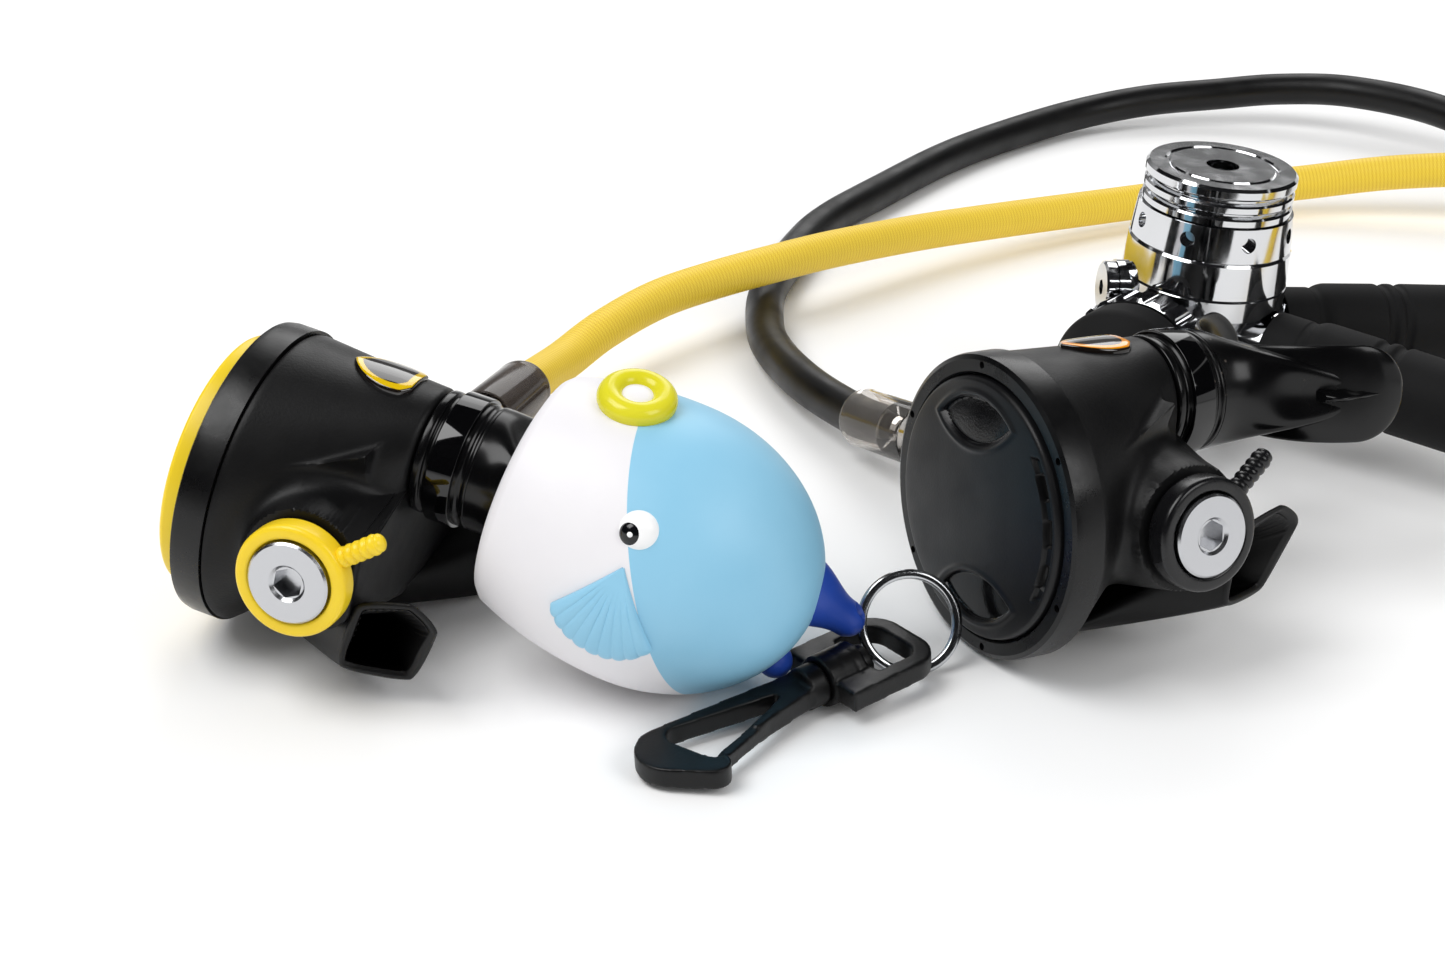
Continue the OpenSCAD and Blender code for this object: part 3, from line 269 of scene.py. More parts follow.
def curve_through(points, steps):
    """A smooth curve through all the points."""
    p = np.array(points, float)
    p = np.vstack([2 * p[0] - p[1], p, 2 * p[-1] - p[-2]])
    return np.vstack([cubic_spans(p, steps), p[-2]])


def tube_rows(path, radius, sides, first, last):
    """Circles square to the path, whose ways at its two ends are given."""
    along = np.gradient(path, axis=0)
    along[0], along[-1] = first, last
    along = unit(along)
    side = unit(np.cross(along, [0, 0, 1.0]))
    up = np.cross(side, along)
    a = circle(sides)[None, :, None]
    return path[:, None, :] + radius * (np.cos(a) * side[:, None, :] + np.sin(a) * up[:, None, :])


def two_colours(shader, colour, other, source, output="Fac"):
    """Colours a shader from one colour to another as a node's output goes from 0 to 1."""
    tint = add(shader.id_data, "Mix", {"data_type": "RGBA", 6: linear(colour), 7: linear(other)},
               {0: (source, output)})
    feed(shader, "Base Color", tint, 2)


def textured(name, colour, other=None, dye=(), patches=(), grain=(), specular=0.5, **sockets):
    """A material with noises in Object coordinates: dye, patches and grain each begin with the
    scale, detail and roughness of one. dye mixes the colour with another. patches go on with the
    noise's low and high and the shader's roughness at each, and grain with the strength and the
    depth, in metres, by which it stands up."""
    material, tree, shader = finish_of(name, Base_Color=linear(colour), Specular_IOR_Level=specular,
                                       **sockets)
    place = add(tree, "TexCoord")
    dyed, rubbed, raised = (
        look and add(tree, "TexNoise", {"Scale": look[0], "Detail": look[1], "Roughness": look[2]},
                     {"Vector": (place, "Object")}) for look in (dye, patches, grain))
    if dye:
        two_colours(shader, colour, other, dyed)
    if patches:
        ends = dict(zip(("From Min", "From Max", "To Min", "To Max"), patches[3:]))
        feed(shader, "Roughness", add(tree, "MapRange", ends, {"Value": (rubbed, "Fac")}))
    if grain:
        feed(shader, "Normal", add(tree, "Bump", {"Strength": grain[3], "Distance": grain[4]},
                                   {"Height": (raised, "Fac")}))
    return material


HOSE_R, WEAVE_ROUND = 5.95, 37.699
SIDES = ((1, "near"), (-1, "far"))
BARREL_Y, BARREL_Z, STUB_X, FITTING_L = 33.1, -2.1, 47, 39.5
PORT_FACE, PORT_Z = 23, 30
MAIN_ROUTE = [(24, 45, 9), (15, 75, 7), (13, 98, 6.5), (15, 124, 6.5), (25, 160, 6.5),
              (36, 186, 6.5), (56, 216, 6.5), (82, 252, 6.5), (108, 279, 6.5), (136, 300, 7.5),
              (163, 309, 10), (190, 311, 12), (215, 308, 15), (240, 298, 17), (267, 274, 17),
              (292, 240, 12), (310, 198, 7), (318, 160, 6.5), (316, 122, 8), (303, 90, 13)]
OCTO_ROUTE = [(-46, 46, 15.5), (-35, 63, 18), (-20, 81, 20), (-4, 95, 20.5), (16, 110, 20.5),
              (36, 127, 19), (65, 151, 15.5), (97, 173, 12), (129, 190, 10), (165, 203, 10),
              (202, 209, 12), (232, 208, 16), (262, 203, 19), (295, 196, 20.5), (325, 184, 18),
              (352, 162, 13), (372, 128, 8), (378, 88, 7), (370, 48, 7), (350, 12, 7),
              (320, -20, 7), (280, -44, 8)]

# A dull bloom in patches of about 12 mm, and a skin of 0.4 mm grain
rubber = textured("black_rubber_hose", "#0c0c0d", patches=(80, 4, 0.5, 0.35, 0.7, 0.34, 0.52),
                  grain=(2400, 2, 0.5, 0.25, 0.0001), specular=0.3)

braid, tree, shader = finish_of("woven_yellow_cover", Roughness=0.5, Specular_IOR_Level=0.35)
flat = add(tree, "UVMap", {"uv_map": "lay"})
# The weave is fine: its strands cross every 1.57 mm, so that they show, in rows
# round the hose. The map's units are millimetres
split = add(tree, "SeparateXYZ", {}, {0: (flat, 0)})
waves = []
for slope in (2.0, -2.0):
    strand = add(tree, "Math", {"operation": "MULTIPLY_ADD", 1: slope}, {0: (split, 0), 2: (split, 1)})
    phase = add(tree, "Math", {"operation": "MULTIPLY", 1: 2 * math.pi / 3.1416}, {0: (strand, 0)})
    waves.append(add(tree, "Math", {"operation": "SINE"}, {0: (phase, 0)}))
weave = add(tree, "Math", {"operation": "MULTIPLY"}, {0: (waves[0], 0), 1: (waves[1], 0)})
crossed = add(tree, "Math", {"operation": "ABSOLUTE"}, {0: (weave, 0)})
# The strands bunch into cross ribs 1.3 mm apart
wave = add(tree, "Math", {"operation": "MULTIPLY", 1: math.pi / 1.3}, {0: (split, 0)})
bunch = add(tree, "Math", {"operation": "SINE"}, {0: (wave, 0)})
rib = add(tree, "Math", {"operation": "ABSOLUTE"}, {0: (bunch, 0)})
height = add(tree, "Mix", {"data_type": "FLOAT", 0: 0.45}, {2: (crossed, 0), 3: (rib, 0)})
bump = add(tree, "Bump", {"Strength": 0.4, "Distance": 0.0002}, {"Height": (height, 0)})
feed(shader, "Normal", bump)
# The yellow follows the weave's height: painted shade, darker down in its hollows and lighter on its
# crowns
two_colours(shader, "#dcae22", "#fbe04e", height, 0)

for (name, turn, at), route, finish in zip(SECOND_STAGES, (MAIN_ROUTE, OCTO_ROUTE), (rubber, braid)):
    start_x = -STUB_X - 0.1 - FITTING_L
    starts = [turn @ np.array([x, BARREL_Y, BARREL_Z]) + at for x in (start_x, start_x - 22)]
    out = heading(PORT_WAYS[name])
    ends = [STAGE_TURN @ (out * (PORT_FACE + 0.1 + FITTING_L + far) + [0, 0, PORT_Z]) + STAGE_AT
            for far in (80, 60, 30, 0)]
    path = curve_through(starts + [np.array(p) + SET_SHIFT for p in route] + ends, 8)
    run = run_along(path)
    rows = tube_rows(path, HOSE_R, 32, -turn[:, 0], -STAGE_TURN @ out)
    hose = skin(name + "_hose_skin", rows, finish, "set", True, uv=(run, WEAVE_ROUND))
    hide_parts(name + "_hose")


# ------------------------ second stage cases
# Moulded glass-filled nylon: a drum that narrows to the mouthpiece tube,
# with a hollow boss on each side for the valve barrel. The mould's fine
# texture keeps its highlights broad.
def in_set(points, turn, at):
    """Local millimetres turned and moved into the set's frame."""
    return points @ turn.T + at


def smooth_min(a, b, k):
    """The lesser of two distances, rounded over a width k where they meet."""
    h = np.clip(0.5 + 0.5 * (b - a) / k, 0, 1)
    return b + (a - b) * h - k * h * (1 - h)


def smoothstep(low, high, x):
    """0 below low, 1 above high, and an S curve between them."""
    t = np.clip((x - low) / (high - low), 0, 1)
    return t * t * (3 - 2 * t)


def limit_of(inside, low, high, rounds=26):
    """Where a test that holds at low and fails at high stops holding, by halving."""
    for _ in range(rounds):
        middle = (low + high) / 2
        held = inside(middle)
        low, high = np.where(held, middle, low), np.where(held, high, middle)
    return low


CASE_R, BOSS_END, TUBE_Z = 36, 36, 20.7


def case_distance(x, y, z):
    """How far a point lies outside the case, about: the hull of three circles, square to Y, whose
    centres rise and radii shrink towards the tube, blended into the two barrel bosses."""
    first = (y - 9) / 17
    second = (y - 26) / 20
    whole = (y - 9) / 37
    low_z = np.where(y < 26, 6.5 * first, 6.5 + (TUBE_Z - 6.5) * second)
    low_r = np.where(y < 26, CASE_R - 7.5 * first, CASE_R - 7.5 - 13.5 * second)
    high_z = TUBE_Z * whole
    high_r = CASE_R - 21 * whole
    drum = np.full(np.shape(x), 1e3)
    for share in np.linspace(0, 1, 7):
        mid_z = low_z + (high_z - low_z) * share
        mid_r = low_r + (high_r - low_r) * share
        drum = smooth_min(drum, np.hypot(x, z - mid_z) - mid_r, 1.2)
    drum += 0.5
    reach = np.hypot(y - BARREL_Y, z - BARREL_Z)
    boss = np.maximum(reach - (21 - 6 * np.abs(x) / BOSS_END), np.abs(x) - BOSS_END)
    # A low wedge stands on each flank, beside the tube's root
    flank = np.maximum.reduce([np.abs(x) - (33.2 - 0.4 * y) - 0.5 * np.abs(z - 13), 16 - y,
                               np.abs(z - 13) - (y - 15) * 0.5, y - 38])
    return smooth_min(smooth_min(drum, boss, 5), flank, 2.0)


# Spark-eroded mould texture, about 0.5 mm so that it shows, and handling marks 15 mm across
case_plastic = textured("textured_black_nylon", "#0d0d0e", patches=(70, 5, 0.5, 0.3, 0.75, 0.36, 0.52),
                        grain=(1500, 2, 0.6, 0.4, 0.00012), specular=0.26)

depth = np.concatenate([[8.15, 8.15, 8.5, 9.2], np.linspace(10, 44.6, 84),
                        [45.1, 45.5, 45.8, 46.0, 46.0]])
inset = np.concatenate([[5, 1.3, 0.75, 0.55], np.full(84, 0.5), [0.65, 0.9, 1.3, 1.9, 4.5]])
angles = circle(360)
centre = np.interp(depth, [8, 26, 46], [0, 9, TUBE_Z])[:, None]
ray_x, ray_z = np.cos(angles)[None, :], np.sin(angles)[None, :]
ray_y = np.broadcast_to(depth[:, None], (len(depth), 360))
radius = limit_of(lambda r: case_distance(r * ray_x, ray_y, centre + r * ray_z) < 0,
                  np.zeros(ray_y.shape), np.full(ray_y.shape, 60.0)) - inset[:, None]
case_rows = np.stack([radius * ray_x, ray_y, centre + radius * ray_z], -1)
for name, turn, at in SECOND_STAGES:
    case = skin(name + "_case_shell", in_set(case_rows, turn, at), case_plastic, "set", True)
    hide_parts(name + "_case")


# ------------------------ mouthpiece necks and bands
# Each mouthpiece is one silicone moulding: a beaded cuff on the tube,
# held by a flat polished strap, then an oval throat, a curved shield and
# two bite tabs.
silicone, tree, shader = finish_of("black_silicone", Specular_IOR_Level=0.34)
place = add(tree, "TexCoord")
# Lint and dust specks stick to silicone: dots of about 0.5 mm, 6 mm apart
specks = add(tree, "TexVoronoi", {"Scale": 260.0}, {"Vector": (place, "Object")})
dot = add(tree, "MapRange", {"From Min": 0.05, "From Max": 0.12, "To Min": 1.0, "To Max": 0.0},
          {"Value": (specks, "Distance")})
patch = add(tree, "TexNoise", {"Scale": 60.0, "Detail": 3.0}, {"Vector": (place, "Object")})
few = add(tree, "MapRange", {"From Min": 0.55, "From Max": 0.7}, {"Value": (patch, "Fac")})
dust = add(tree, "Math", {"operation": "MULTIPLY"}, {0: (dot, 0), 1: (few, 0)})
two_colours(shader, "#080809", "#6b625a", dust, 0)
uneven = add(tree, "MapRange", {"From Min": 0.3, "From Max": 0.7, "To Min": 0.12, "To Max": 0.3},
             {"Value": (patch, "Fac")})
feed(shader, "Roughness", uneven)
strap, _, _ = finish_of("polished_strap", Base_Color=linear("#050506"), Roughness=0.05,
                        Specular_IOR_Level=0.6)


def lathe(name, profile, material, body, turn, at, origin, axis=(0, 1, 0), sides=144, loop=True,
          closed=False, corner=38):
    """A surface of revolution about an axis through origin, in a stage's own frame: profile rows
    are (radius, distance along the axis), and with loop set the profile's end meets its start."""
    profile = np.array(profile, float)
    axis = unit(np.array(axis, float))
    side = unit(np.cross(axis, [0.3, 0.1, 0.95] if abs(axis[2]) < 0.8 else [1.0, 0, 0]))
    up = np.cross(axis, side)
    a = circle(sides)[None, :, None]
    r, along = profile[:, 0][:, None, None], profile[:, 1][:, None, None]
    rows = np.array(origin, float) + along * axis + r * (np.cos(a) * side + np.sin(a) * up)
    return skin(name, in_set(rows, turn, at), material, body, closed, loop=loop, corner=corner)


def rounded(corners, radius, steps=4):
    """A profile whose inner corners are turned into arcs of about the radius."""
    p = np.array(corners, float)
    out = [p[0]]
    for a, b, c in zip(p[:-2], p[1:-1], p[2:]):
        cut = min(radius, 0.48 * np.linalg.norm(a - b), 0.48 * np.linalg.norm(c - b))
        start, end = b + cut * unit(a - b), b + cut * unit(c - b)
        t = np.linspace(0, 1, steps + 1)[:, None]
        out += list((1 - t) ** 2 * start + 2 * t * (1 - t) * b + t ** 2 * end)
    return np.array(out + [p[-1]])


NECK_R = 14.9
TUBE_END = 60
for (name, turn, at), half_w in zip(SECOND_STAGES, (31, 27)):
    tube = (0, 0, TUBE_Z)
    beads = [(13.45, 46.3), (NECK_R, 46.3), (NECK_R, 48.2), (NECK_R - 0.7, 48.9), (NECK_R - 0.7, 49.6),
             (NECK_R, 50.2), (NECK_R, 57.6), (NECK_R - 0.4, 58.2), (NECK_R - 0.4, 58.9), (NECK_R, 59.4),
             (NECK_R, TUBE_END + 0.2), (13.0, TUBE_END + 0.2)]
    cuff = lathe(name + "_cuff", rounded(beads, 0.7), silicone, "set", turn, at, tube)
    flat = [(NECK_R + 0.02, 50.2), (NECK_R + 0.9, 50.2), (NECK_R + 0.9, 56.5), (NECK_R + 0.02, 56.5)]
    band = lathe(name + "_strap", rounded(flat, 0.25), strap, "set", turn, at, tube)
    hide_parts(name + "_mouthpiece_band")
    # The throat: circle to a wide oval that ends on the shield's arc, outside and back inside
    tip_y = TUBE_END + half_w * 1.35
    u = circle(120)
    s = np.concatenate([np.linspace(0, 1, 22), np.linspace(1, 0, 22)])[:, None]
    wall_in = np.concatenate([np.zeros(22), np.full(22, 2.4)])[:, None]
    ease = smoothstep(0.05, 1, s) ** 1.2
    across = NECK_R * (1 - ease) + 0.93 * half_w * ease - wall_in
    up = NECK_R * (1 - ease) + 11.4 * ease - wall_in
    meets = tip_y - np.sqrt((half_w - 1.2) ** 2 - (0.93 * half_w * np.cos(u)) ** 2)
    deep = TUBE_END + 0.2 + s * (meets - TUBE_END - 0.2)
    rows = np.stack([across * np.cos(u), deep, TUBE_Z + up * np.sin(u)], -1)
    throat = skin(name + "_throat", in_set(rows, turn, at), silicone, "set", loop=True)
    # The shield: an arc round the bite with round ends and a soft rim
    v = np.linspace(-math.pi / 2, math.pi / 2, 161)[:, None]
    w = circle(48)
    mid_r = half_w - 1.3
    end_arc = math.radians(24)
    past = np.clip((np.abs(v) - (math.pi / 2 - end_arc)) / end_arc, 0, 1)
    high = (11.9 - 1.2 * np.cos(v) ** 8) * np.sqrt(np.clip(1 - past ** 2, 0.0004, 1))
    thick = mid_r + 1.25 * np.cos(w) * np.clip(high / 5, 0.1, 1)
    tall = high * np.sign(np.sin(w)) * np.abs(np.sin(w)) ** 0.8
    rows = np.stack([thick * np.sin(v), tip_y - thick * np.cos(v), TUBE_Z + tall], -1)
    shield = skin(name + "_shield", in_set(rows, turn, at), silicone, "set", True)
    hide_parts(name + "_mouthpiece")
    for side, label in ((-1, "left"), (1, "right")):
        length = np.linspace(0, 1, 20)[:, None]
        half = 6 * np.sqrt(np.clip(1 - ((length - 0.5) / 0.52) ** 6, 0.02, 1))
        x = side * (half_w - 7) + half * np.cos(w) * np.abs(np.cos(w)) ** 0.2
        z = TUBE_Z + 1.5 * np.sin(w) * np.sqrt(half / 6) * (1 + 0.25 * np.cos(2 * math.pi * 4 * length))
        rows = np.stack([x, np.broadcast_to(tip_y - 21 + 20 * length, x.shape), z], -1)
        tab = skin(name + "_bite_" + label, in_set(rows, turn, at), silicone, "set", True)


# ------------------------ exhaust tees
# Soft black rubber tee under each case. A round socket over the exhaust
# valve splits into two flat horns that open beside the end plug, with
# short ribs inside the mouth.
tee_rubber = textured("moulded_black_rubber", "#0b0b0c", grain=(1800, 2, 0.5, 0.25, 0.0001),
                      Roughness=0.45)
tree = tee_rubber.node_tree
shader = tree.nodes["Principled BSDF"]
# Inside each horn's mouth the rubber is painted darker and its specular dimmed: painted shade in the
# recess
deep = add(tree, "Attribute", {"attribute_name": "deep"})
two_colours(shader, "#0b0b0c", "#020202", deep)
dim = add(tree, "MapRange", {"To Min": 0.28, "To Max": 0.05}, {"Value": (deep, "Fac")})
feed(shader, "Specular IOR Level", dim)

socket_turn = turned((-142, 0, 0))
mouth = np.array([(35, 59.5, -1.5), (33.5, 65.5, -6), (27.5, 60.5, -22.5), (33, 45.5, -22.5),
                  (34.5, 48, -6)])


def closed_curve(points, count):
    """A closed smooth curve through the points, evenly spread."""
    dense = cubic_spans(np.vstack([points[-1:], points, points[:2]]), 24)
    loop = np.vstack([dense, dense[:1]])
    run = run_along(loop)
    at = run[-1] * np.arange(count) / count
    return np.stack([np.interp(at, run, loop[:, k]) for k in range(3)], -1)


def round_corners(points, share):
    """Two points for each corner, a share of the side away from it."""
    pair = [points + share * (np.roll(points, by, 0) - points) for by in (1, -1)]
    return np.stack(pair, 1).reshape(-1, 3)


def from_middle(row):
    """Unit vectors from a ring's middle to its points."""
    return unit(row - row.mean(0))


ring_n = 144
a = circle(ring_n)
SOCKET_R, SOCKET_AT = 10.6, (0, 20, -27.5)
root = np.stack([SOCKET_R * np.cos(a), SOCKET_R * np.sin(a), np.full(ring_n, 0.3)], -1)
root = in_set(root, socket_turn, SOCKET_AT)
hub = mouth.mean(0)
outward = np.array([0.75, 0.65, -0.1])
rim = closed_curve(round_corners(mouth + 1.5 * from_middle(mouth), 0.16), ring_n)
# The rim goes round the same way as the root, and starts beside it
if np.dot(np.cross(rim[1] - hub, rim[2] - hub), outward) * np.dot(
        np.cross(root[1] - root.mean(0), root[2] - root.mean(0)), hub - root.mean(0)) < 0:
    rim = rim[::-1]
score = [np.sum(from_middle(root) * np.roll(from_middle(rim), k, 0)) for k in range(ring_n)]
rim = np.roll(rim, int(np.argmax(score)), 0)
t = np.linspace(0, 1, 30)[:, None, None]
blend = smoothstep(0, 1, t) ** 0.85
outer = root * (1 - blend) + rim * blend + np.array([0, 1.5, -2.0]) * np.sin(math.pi * t) * 0.5
# Short ribs stand on the outer wall just inside the mouth, 2.2 mm apart
length = run_along(rim)
ribs = 0.45 * np.clip(np.cos(2 * math.pi * length / 2.2), 0, 1) * (rim[:, 0] > hub[0])
lip = from_middle(rim)
inner = []
for k, row in enumerate(outer[::-1][:24]):
    wall = 2.1 + (ribs[:, None] if 2 <= k <= 7 else 0)
    inner.append(row - wall * from_middle(row) - (0.3 * outward if k == 0 else 0))
tee_rows = np.concatenate([outer, [rim + 0.55 * outward, rim - 0.7 * lip + 1.0 * outward,
                                   rim - 1.5 * lip + 0.7 * outward], inner])
# How far into the mouth each row lies, which sets the painted shade inside the horns
inner_shade = np.clip((np.arange(len(tee_rows)) - 33) / 10, 0, 1)[:, None]
for name, turn, at in SECOND_STAGES:
    for side, label in SIDES:
        rows = in_set(tee_rows * (side, 1, 1), turn, at)
        horn = skin(name + "_horn_" + label, rows, tee_rubber, "set",
                    True, marks={"deep": inner_shade}, corner=60)
    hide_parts(name + "_exhaust_tee")


# ------------------------ front rings
# Threaded rings of black nylon, turned smooth, with pin-spanner holes in
# the rim. They are the solids themselves, joined and kept sharp.
def both(*names):
    """The nodes of those names on the two second stages."""
    return [stage + name for name in names for stage in ("main_", "octo_")]


def dress(names, material, corner=28):
    """Gives solids a material, with soft shading up to a corner angle in degrees."""
    for name in names:
        piece = nodes[name]
        piece.data.materials.clear()
        piece.data.materials.append(material)
        piece.data.polygons.foreach_set("use_smooth", np.ones(len(piece.data.polygons), bool))
        join = piece.modifiers.new("join", "WELD")
        join.merge_threshold = 0.000004
        part = piece.modifiers.new("corners", "EDGE_SPLIT")
        part.split_angle = math.radians(corner)


# Handling haze in patches of 10 mm, and pits under 1 mm
satin_ring = textured("satin_black_nylon", "#0b0b0c", patches=(100, 6, 0.65, 0.35, 0.75, 0.24, 0.42),
                      grain=(1100, 3, 0.5, 0.18, 0.0001), specular=0.32)
dress(both("ring"), satin_ring)


# ------------------------ purge covers
# Moulded buttons that fill the front rings: a low dome with a lens-shaped
# hollow above and below the middle, and a crescent of slots on one side.
# The primary's is black, the spare's yellow for the other diver to find.
COVER_R = 31.35


def lens_distance(x, z, mid_z):
    """Distance outside a lens: the meet of two discs of radius 20, 28 apart."""
    return np.maximum(np.hypot(x, z - mid_z - 14), np.hypot(x, z - mid_z + 14)) - 20


def cover_rows(stand):
    """The cover's face as rings of points: a dome of 2.2 with its hollows pressed in, then the
    skirt, and the flat back."""
    share = np.concatenate([np.linspace(0.004, 0.93, 118), np.linspace(0.934, 1, 26)])[:, None]
    angle = circle(360)[None, :]
    r = COVER_R * share
    x, z = r * np.cos(angle), r * np.sin(angle)
    dome = 2.2 * np.sqrt(np.clip(1 - (0.985 * share) ** 2, 0, 1)) + 0 * angle
    edge = np.clip((1 - share) / 0.035, 0, 1)
    dome = dome - 0.9 * (1 - np.sqrt(1 - (1 - edge) ** 2))
    hollow = np.zeros_like(dome)
    for mid_z in (21.2, -21.2):
        d = lens_distance(x, z, mid_z)
        hollow = np.maximum(hollow, 1 - smoothstep(-1.0, 0.1, d))
        dome += 0.38 * np.exp(-((d - 0.75) / 0.65) ** 2)
    # The crescent's floor lies lower, with slots between low tabs
    moon = np.maximum(29.9 - np.hypot(x + 3.2, z), np.hypot(x, z) - 29.9)
    moon = np.maximum(moon, np.abs(z) - 17)
    crescent = 1 - smoothstep(-0.7, 0.0, moon)
    slot = np.zeros_like(dome)
    for turn_by in np.radians((-22, 0, 22)):
        along = x * math.cos(turn_by) + z * math.sin(turn_by) - 28.1
        across = -x * math.sin(turn_by) + z * math.cos(turn_by)
        inside = np.maximum(np.abs(along) - 1.3, np.abs(across) - 3.1)
        slot = np.maximum(slot, 1 - smoothstep(-0.3, 0.15, inside))
    crease = 0.16 * np.abs(np.abs(x) / 14 - 1).clip(0, 1) * smoothstep(4, 12, np.hypot(x, z))
    depth = stand + dome + crease * 0.5 - 1.25 * hollow - 0.95 * crescent - 0.9 * slot
    face = np.stack([x, -depth, z], -1)
    around = face[-1].copy()
    skirt = []
    for back in (-stand + 0.6, 1.8, 3.6):
        around = around.copy()
        around[:, 1] = back
        skirt.append(around)
    floor = around * (0.05, 1, 0.05)
    rows = np.concatenate([face, skirt, [floor]])
    pad = np.zeros((4, 360))
    return rows, np.concatenate([hollow, pad]), np.concatenate([np.maximum(slot, 0.7 * crescent), pad])


def cover_finish(name, body_colour, shaded_hollow_colour, rough, spec):
    """Moulded nylon whose hollows are polished and painted a little darker, painted shade, and whose
    slots and crescent are painted near black, painted shade in the openings: their places are marks on
    the mesh."""
    material = textured(name, body_colour, grain=(1500, 2, 0.5, 0.22, 0.0001), specular=spec)
    tree = material.node_tree
    shader = tree.nodes["Principled BSDF"]
    place = add(tree, "TexCoord")
    hollow = add(tree, "Attribute", {"attribute_name": "hollow"})
    slot = add(tree, "Attribute", {"attribute_name": "slot"})
    wear = add(tree, "TexNoise", {"Scale": 90.0, "Detail": 5.0}, {"Vector": (place, "Object")})
    rub = add(tree, "MapRange", {"From Min": 0.3, "From Max": 0.75, "To Min": rough - 0.07,
                                           "To Max": rough + 0.08}, {"Value": (wear, "Fac")})
    gloss = add(tree, "Mix", {"data_type": "FLOAT", 3: 0.12}, {0: (hollow, "Fac"), 2: (rub, 0)})
    feed(shader, "Roughness", gloss)
    # Painted shade: a little darker in the hollows, and near black in the slots and, at 0.7, on the
    # crescent
    first = add(tree, "Mix", {"data_type": "RGBA", 6: linear(body_colour), 7: linear(shaded_hollow_colour)},
                {0: (hollow, "Fac")})
    second = add(tree, "Mix", {"data_type": "RGBA", 7: linear("#050505")},
                 {0: (slot, "Fac"), 6: (first, 2)})
    feed(shader, "Base Color", second, 2)
    return material


# Each button: its colour, and the darker colour of the painted shade in its hollows
black_cover = cover_finish("black_nylon_button", "#101012", "#060607", 0.4, 0.28)
yellow_cover = cover_finish("yellow_nylon_button", "#f4d21f", "#e9c412", 0.36, 0.4)
for (name, turn, at), (stand, finish, slot) in zip(
        SECOND_STAGES, ((0.7, black_cover, "case_black"), (4.6, yellow_cover, "yellow_cover"))):
    rows, hollow, dark = cover_rows(stand)
    button = skin(name + "_purge_button", in_set(rows, turn, at), finish, name + "_purge", True,
                  marks={"hollow": hollow, "slot": dark})
    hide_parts(name + "_purge_cover")


# ------------------------ badges
# Shield-shaped plates let into the top of each case: a glossy domed resin
# face, near black, inside a thin printed border. They carry no device.
def badge_finish(name, border):
    """Black gloss resin with a border of another colour, by the mesh's mark of how near the edge
    a point lies."""
    material, tree, shader = finish_of(name, Roughness=0.08, Specular_IOR_Level=0.5, Coat_Weight=0.6)
    edge = add(tree, "Attribute", {"attribute_name": "edge"})
    line = add(tree, "MapRange", {"From Min": 0.75, "From Max": 0.78}, {"Value": (edge, "Fac")})
    rim = add(tree, "MapRange", {"From Min": 0.95, "From Max": 0.97, "To Min": 1.0, "To Max": 0.0},
              {"Value": (edge, "Fac")})
    shown = add(tree, "Math", {"operation": "MULTIPLY"}, {0: (line, 0), 1: (rim, 0)})
    two_colours(shader, "#17120f", border, shown, 0)
    return material


phi = circle(180)
share = np.concatenate([np.linspace(0.02, 0.9, 20), [0.93, 0.96, 0.985, 1.0, 1.0]])[:, None]


def in_shield(r):
    """Whether a distance along each way of phi is inside the shield: the meet of three discs and a
    straight top."""
    x, y = r * np.cos(phi), r * np.sin(phi)
    return np.maximum.reduce([np.hypot(x, y - 0.5) - 9.2, np.hypot(x + 5, y - 3) - 12.6,
                              np.hypot(x - 5, y - 3) - 12.6, y - 8.4]) < 0


reach = limit_of(in_shield, np.zeros(180), np.full(180, 20.0), 24)
badge_x = share * reach * np.cos(phi)
badge_y = 31 + share * reach * np.sin(phi)
low = limit_of(lambda z: case_distance(badge_x, badge_y, z) < 0.5,
               np.full(badge_x.shape, 18.0), np.full(badge_x.shape, 60.0))
lift = np.concatenate([0.75 + 0.25 * (1 - share[:20, 0] ** 2), [0.74, 0.66, 0.5, 0.2, -0.5]])[:, None]
badge_rows = np.stack([badge_x, badge_y, low - 0.6 + lift], -1)
for (name, turn, at), border in zip(SECOND_STAGES, ("#e8920c", "#d9b40e")):
    resin = badge_finish(name + "_badge_resin", border)
    plate = skin(name + "_badge_plate", in_set(badge_rows, turn, at), resin, "set", True,
                 marks={"edge": share})
    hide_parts(name + "_badge")


# ------------------------ swivel collars and their stems
# The airflow lever: a thick ring of nylon round the end plug, moulded in
# one with a beaded stem. Black on the primary, yellow on the spare.
bead_black = textured("polished_black_nylon", "#0e0e10", patches=(180, 4, 0.5, 0.3, 0.75, 0.2, 0.36),
                      specular=0.45)
bead_yellow = textured("polished_yellow_nylon", "#efc813", "#f8d92c", dye=(120, 4, 0.5), Roughness=0.3,
                       specular=0.45)

COLLAR_X = 36.3
collar_profile = rounded([(8.1, 0.05), (13.45, 0.05), (13.45, 6.15), (10.1, 6.15), (10.1, 4.4),
                          (8.1, 4.4)], 1.5, 6)[1:-1]
stem_way = turned((41 - 90, 0, 0)) @ np.array([0, 0, 1.0])
bead = np.linspace(0, 1, 141)
at_bead = 12 + 12.95 * bead
stem_r = 2.05 + 0.42 * np.abs(np.sin(math.pi * (at_bead - 13) / 2.05)) ** 0.8
stem_r = np.where(at_bead < 13, 2.6, stem_r)
stem_r *= np.sqrt(np.clip(1 - ((at_bead - 22.8) / 2.16).clip(0, 1) ** 2, 0.001, 1))
for (name, turn, at), finish, slot in zip(SECOND_STAGES, (bead_black, bead_yellow),
                                          ("ring_black", "yellow_cover")):
    collar = lathe(name + "_collar", collar_profile, finish, name + "_venturi", turn, at,
                   (COLLAR_X, BARREL_Y, BARREL_Z), (1, 0, 0))
    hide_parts(name + "_venturi_lever")
    stem = lathe(name + "_stem", np.stack([stem_r, at_bead], -1), finish, name + "_venturi", turn, at,
                 (COLLAR_X + 2.9, BARREL_Y, BARREL_Z), stem_way, 40, False, True, corner=80)


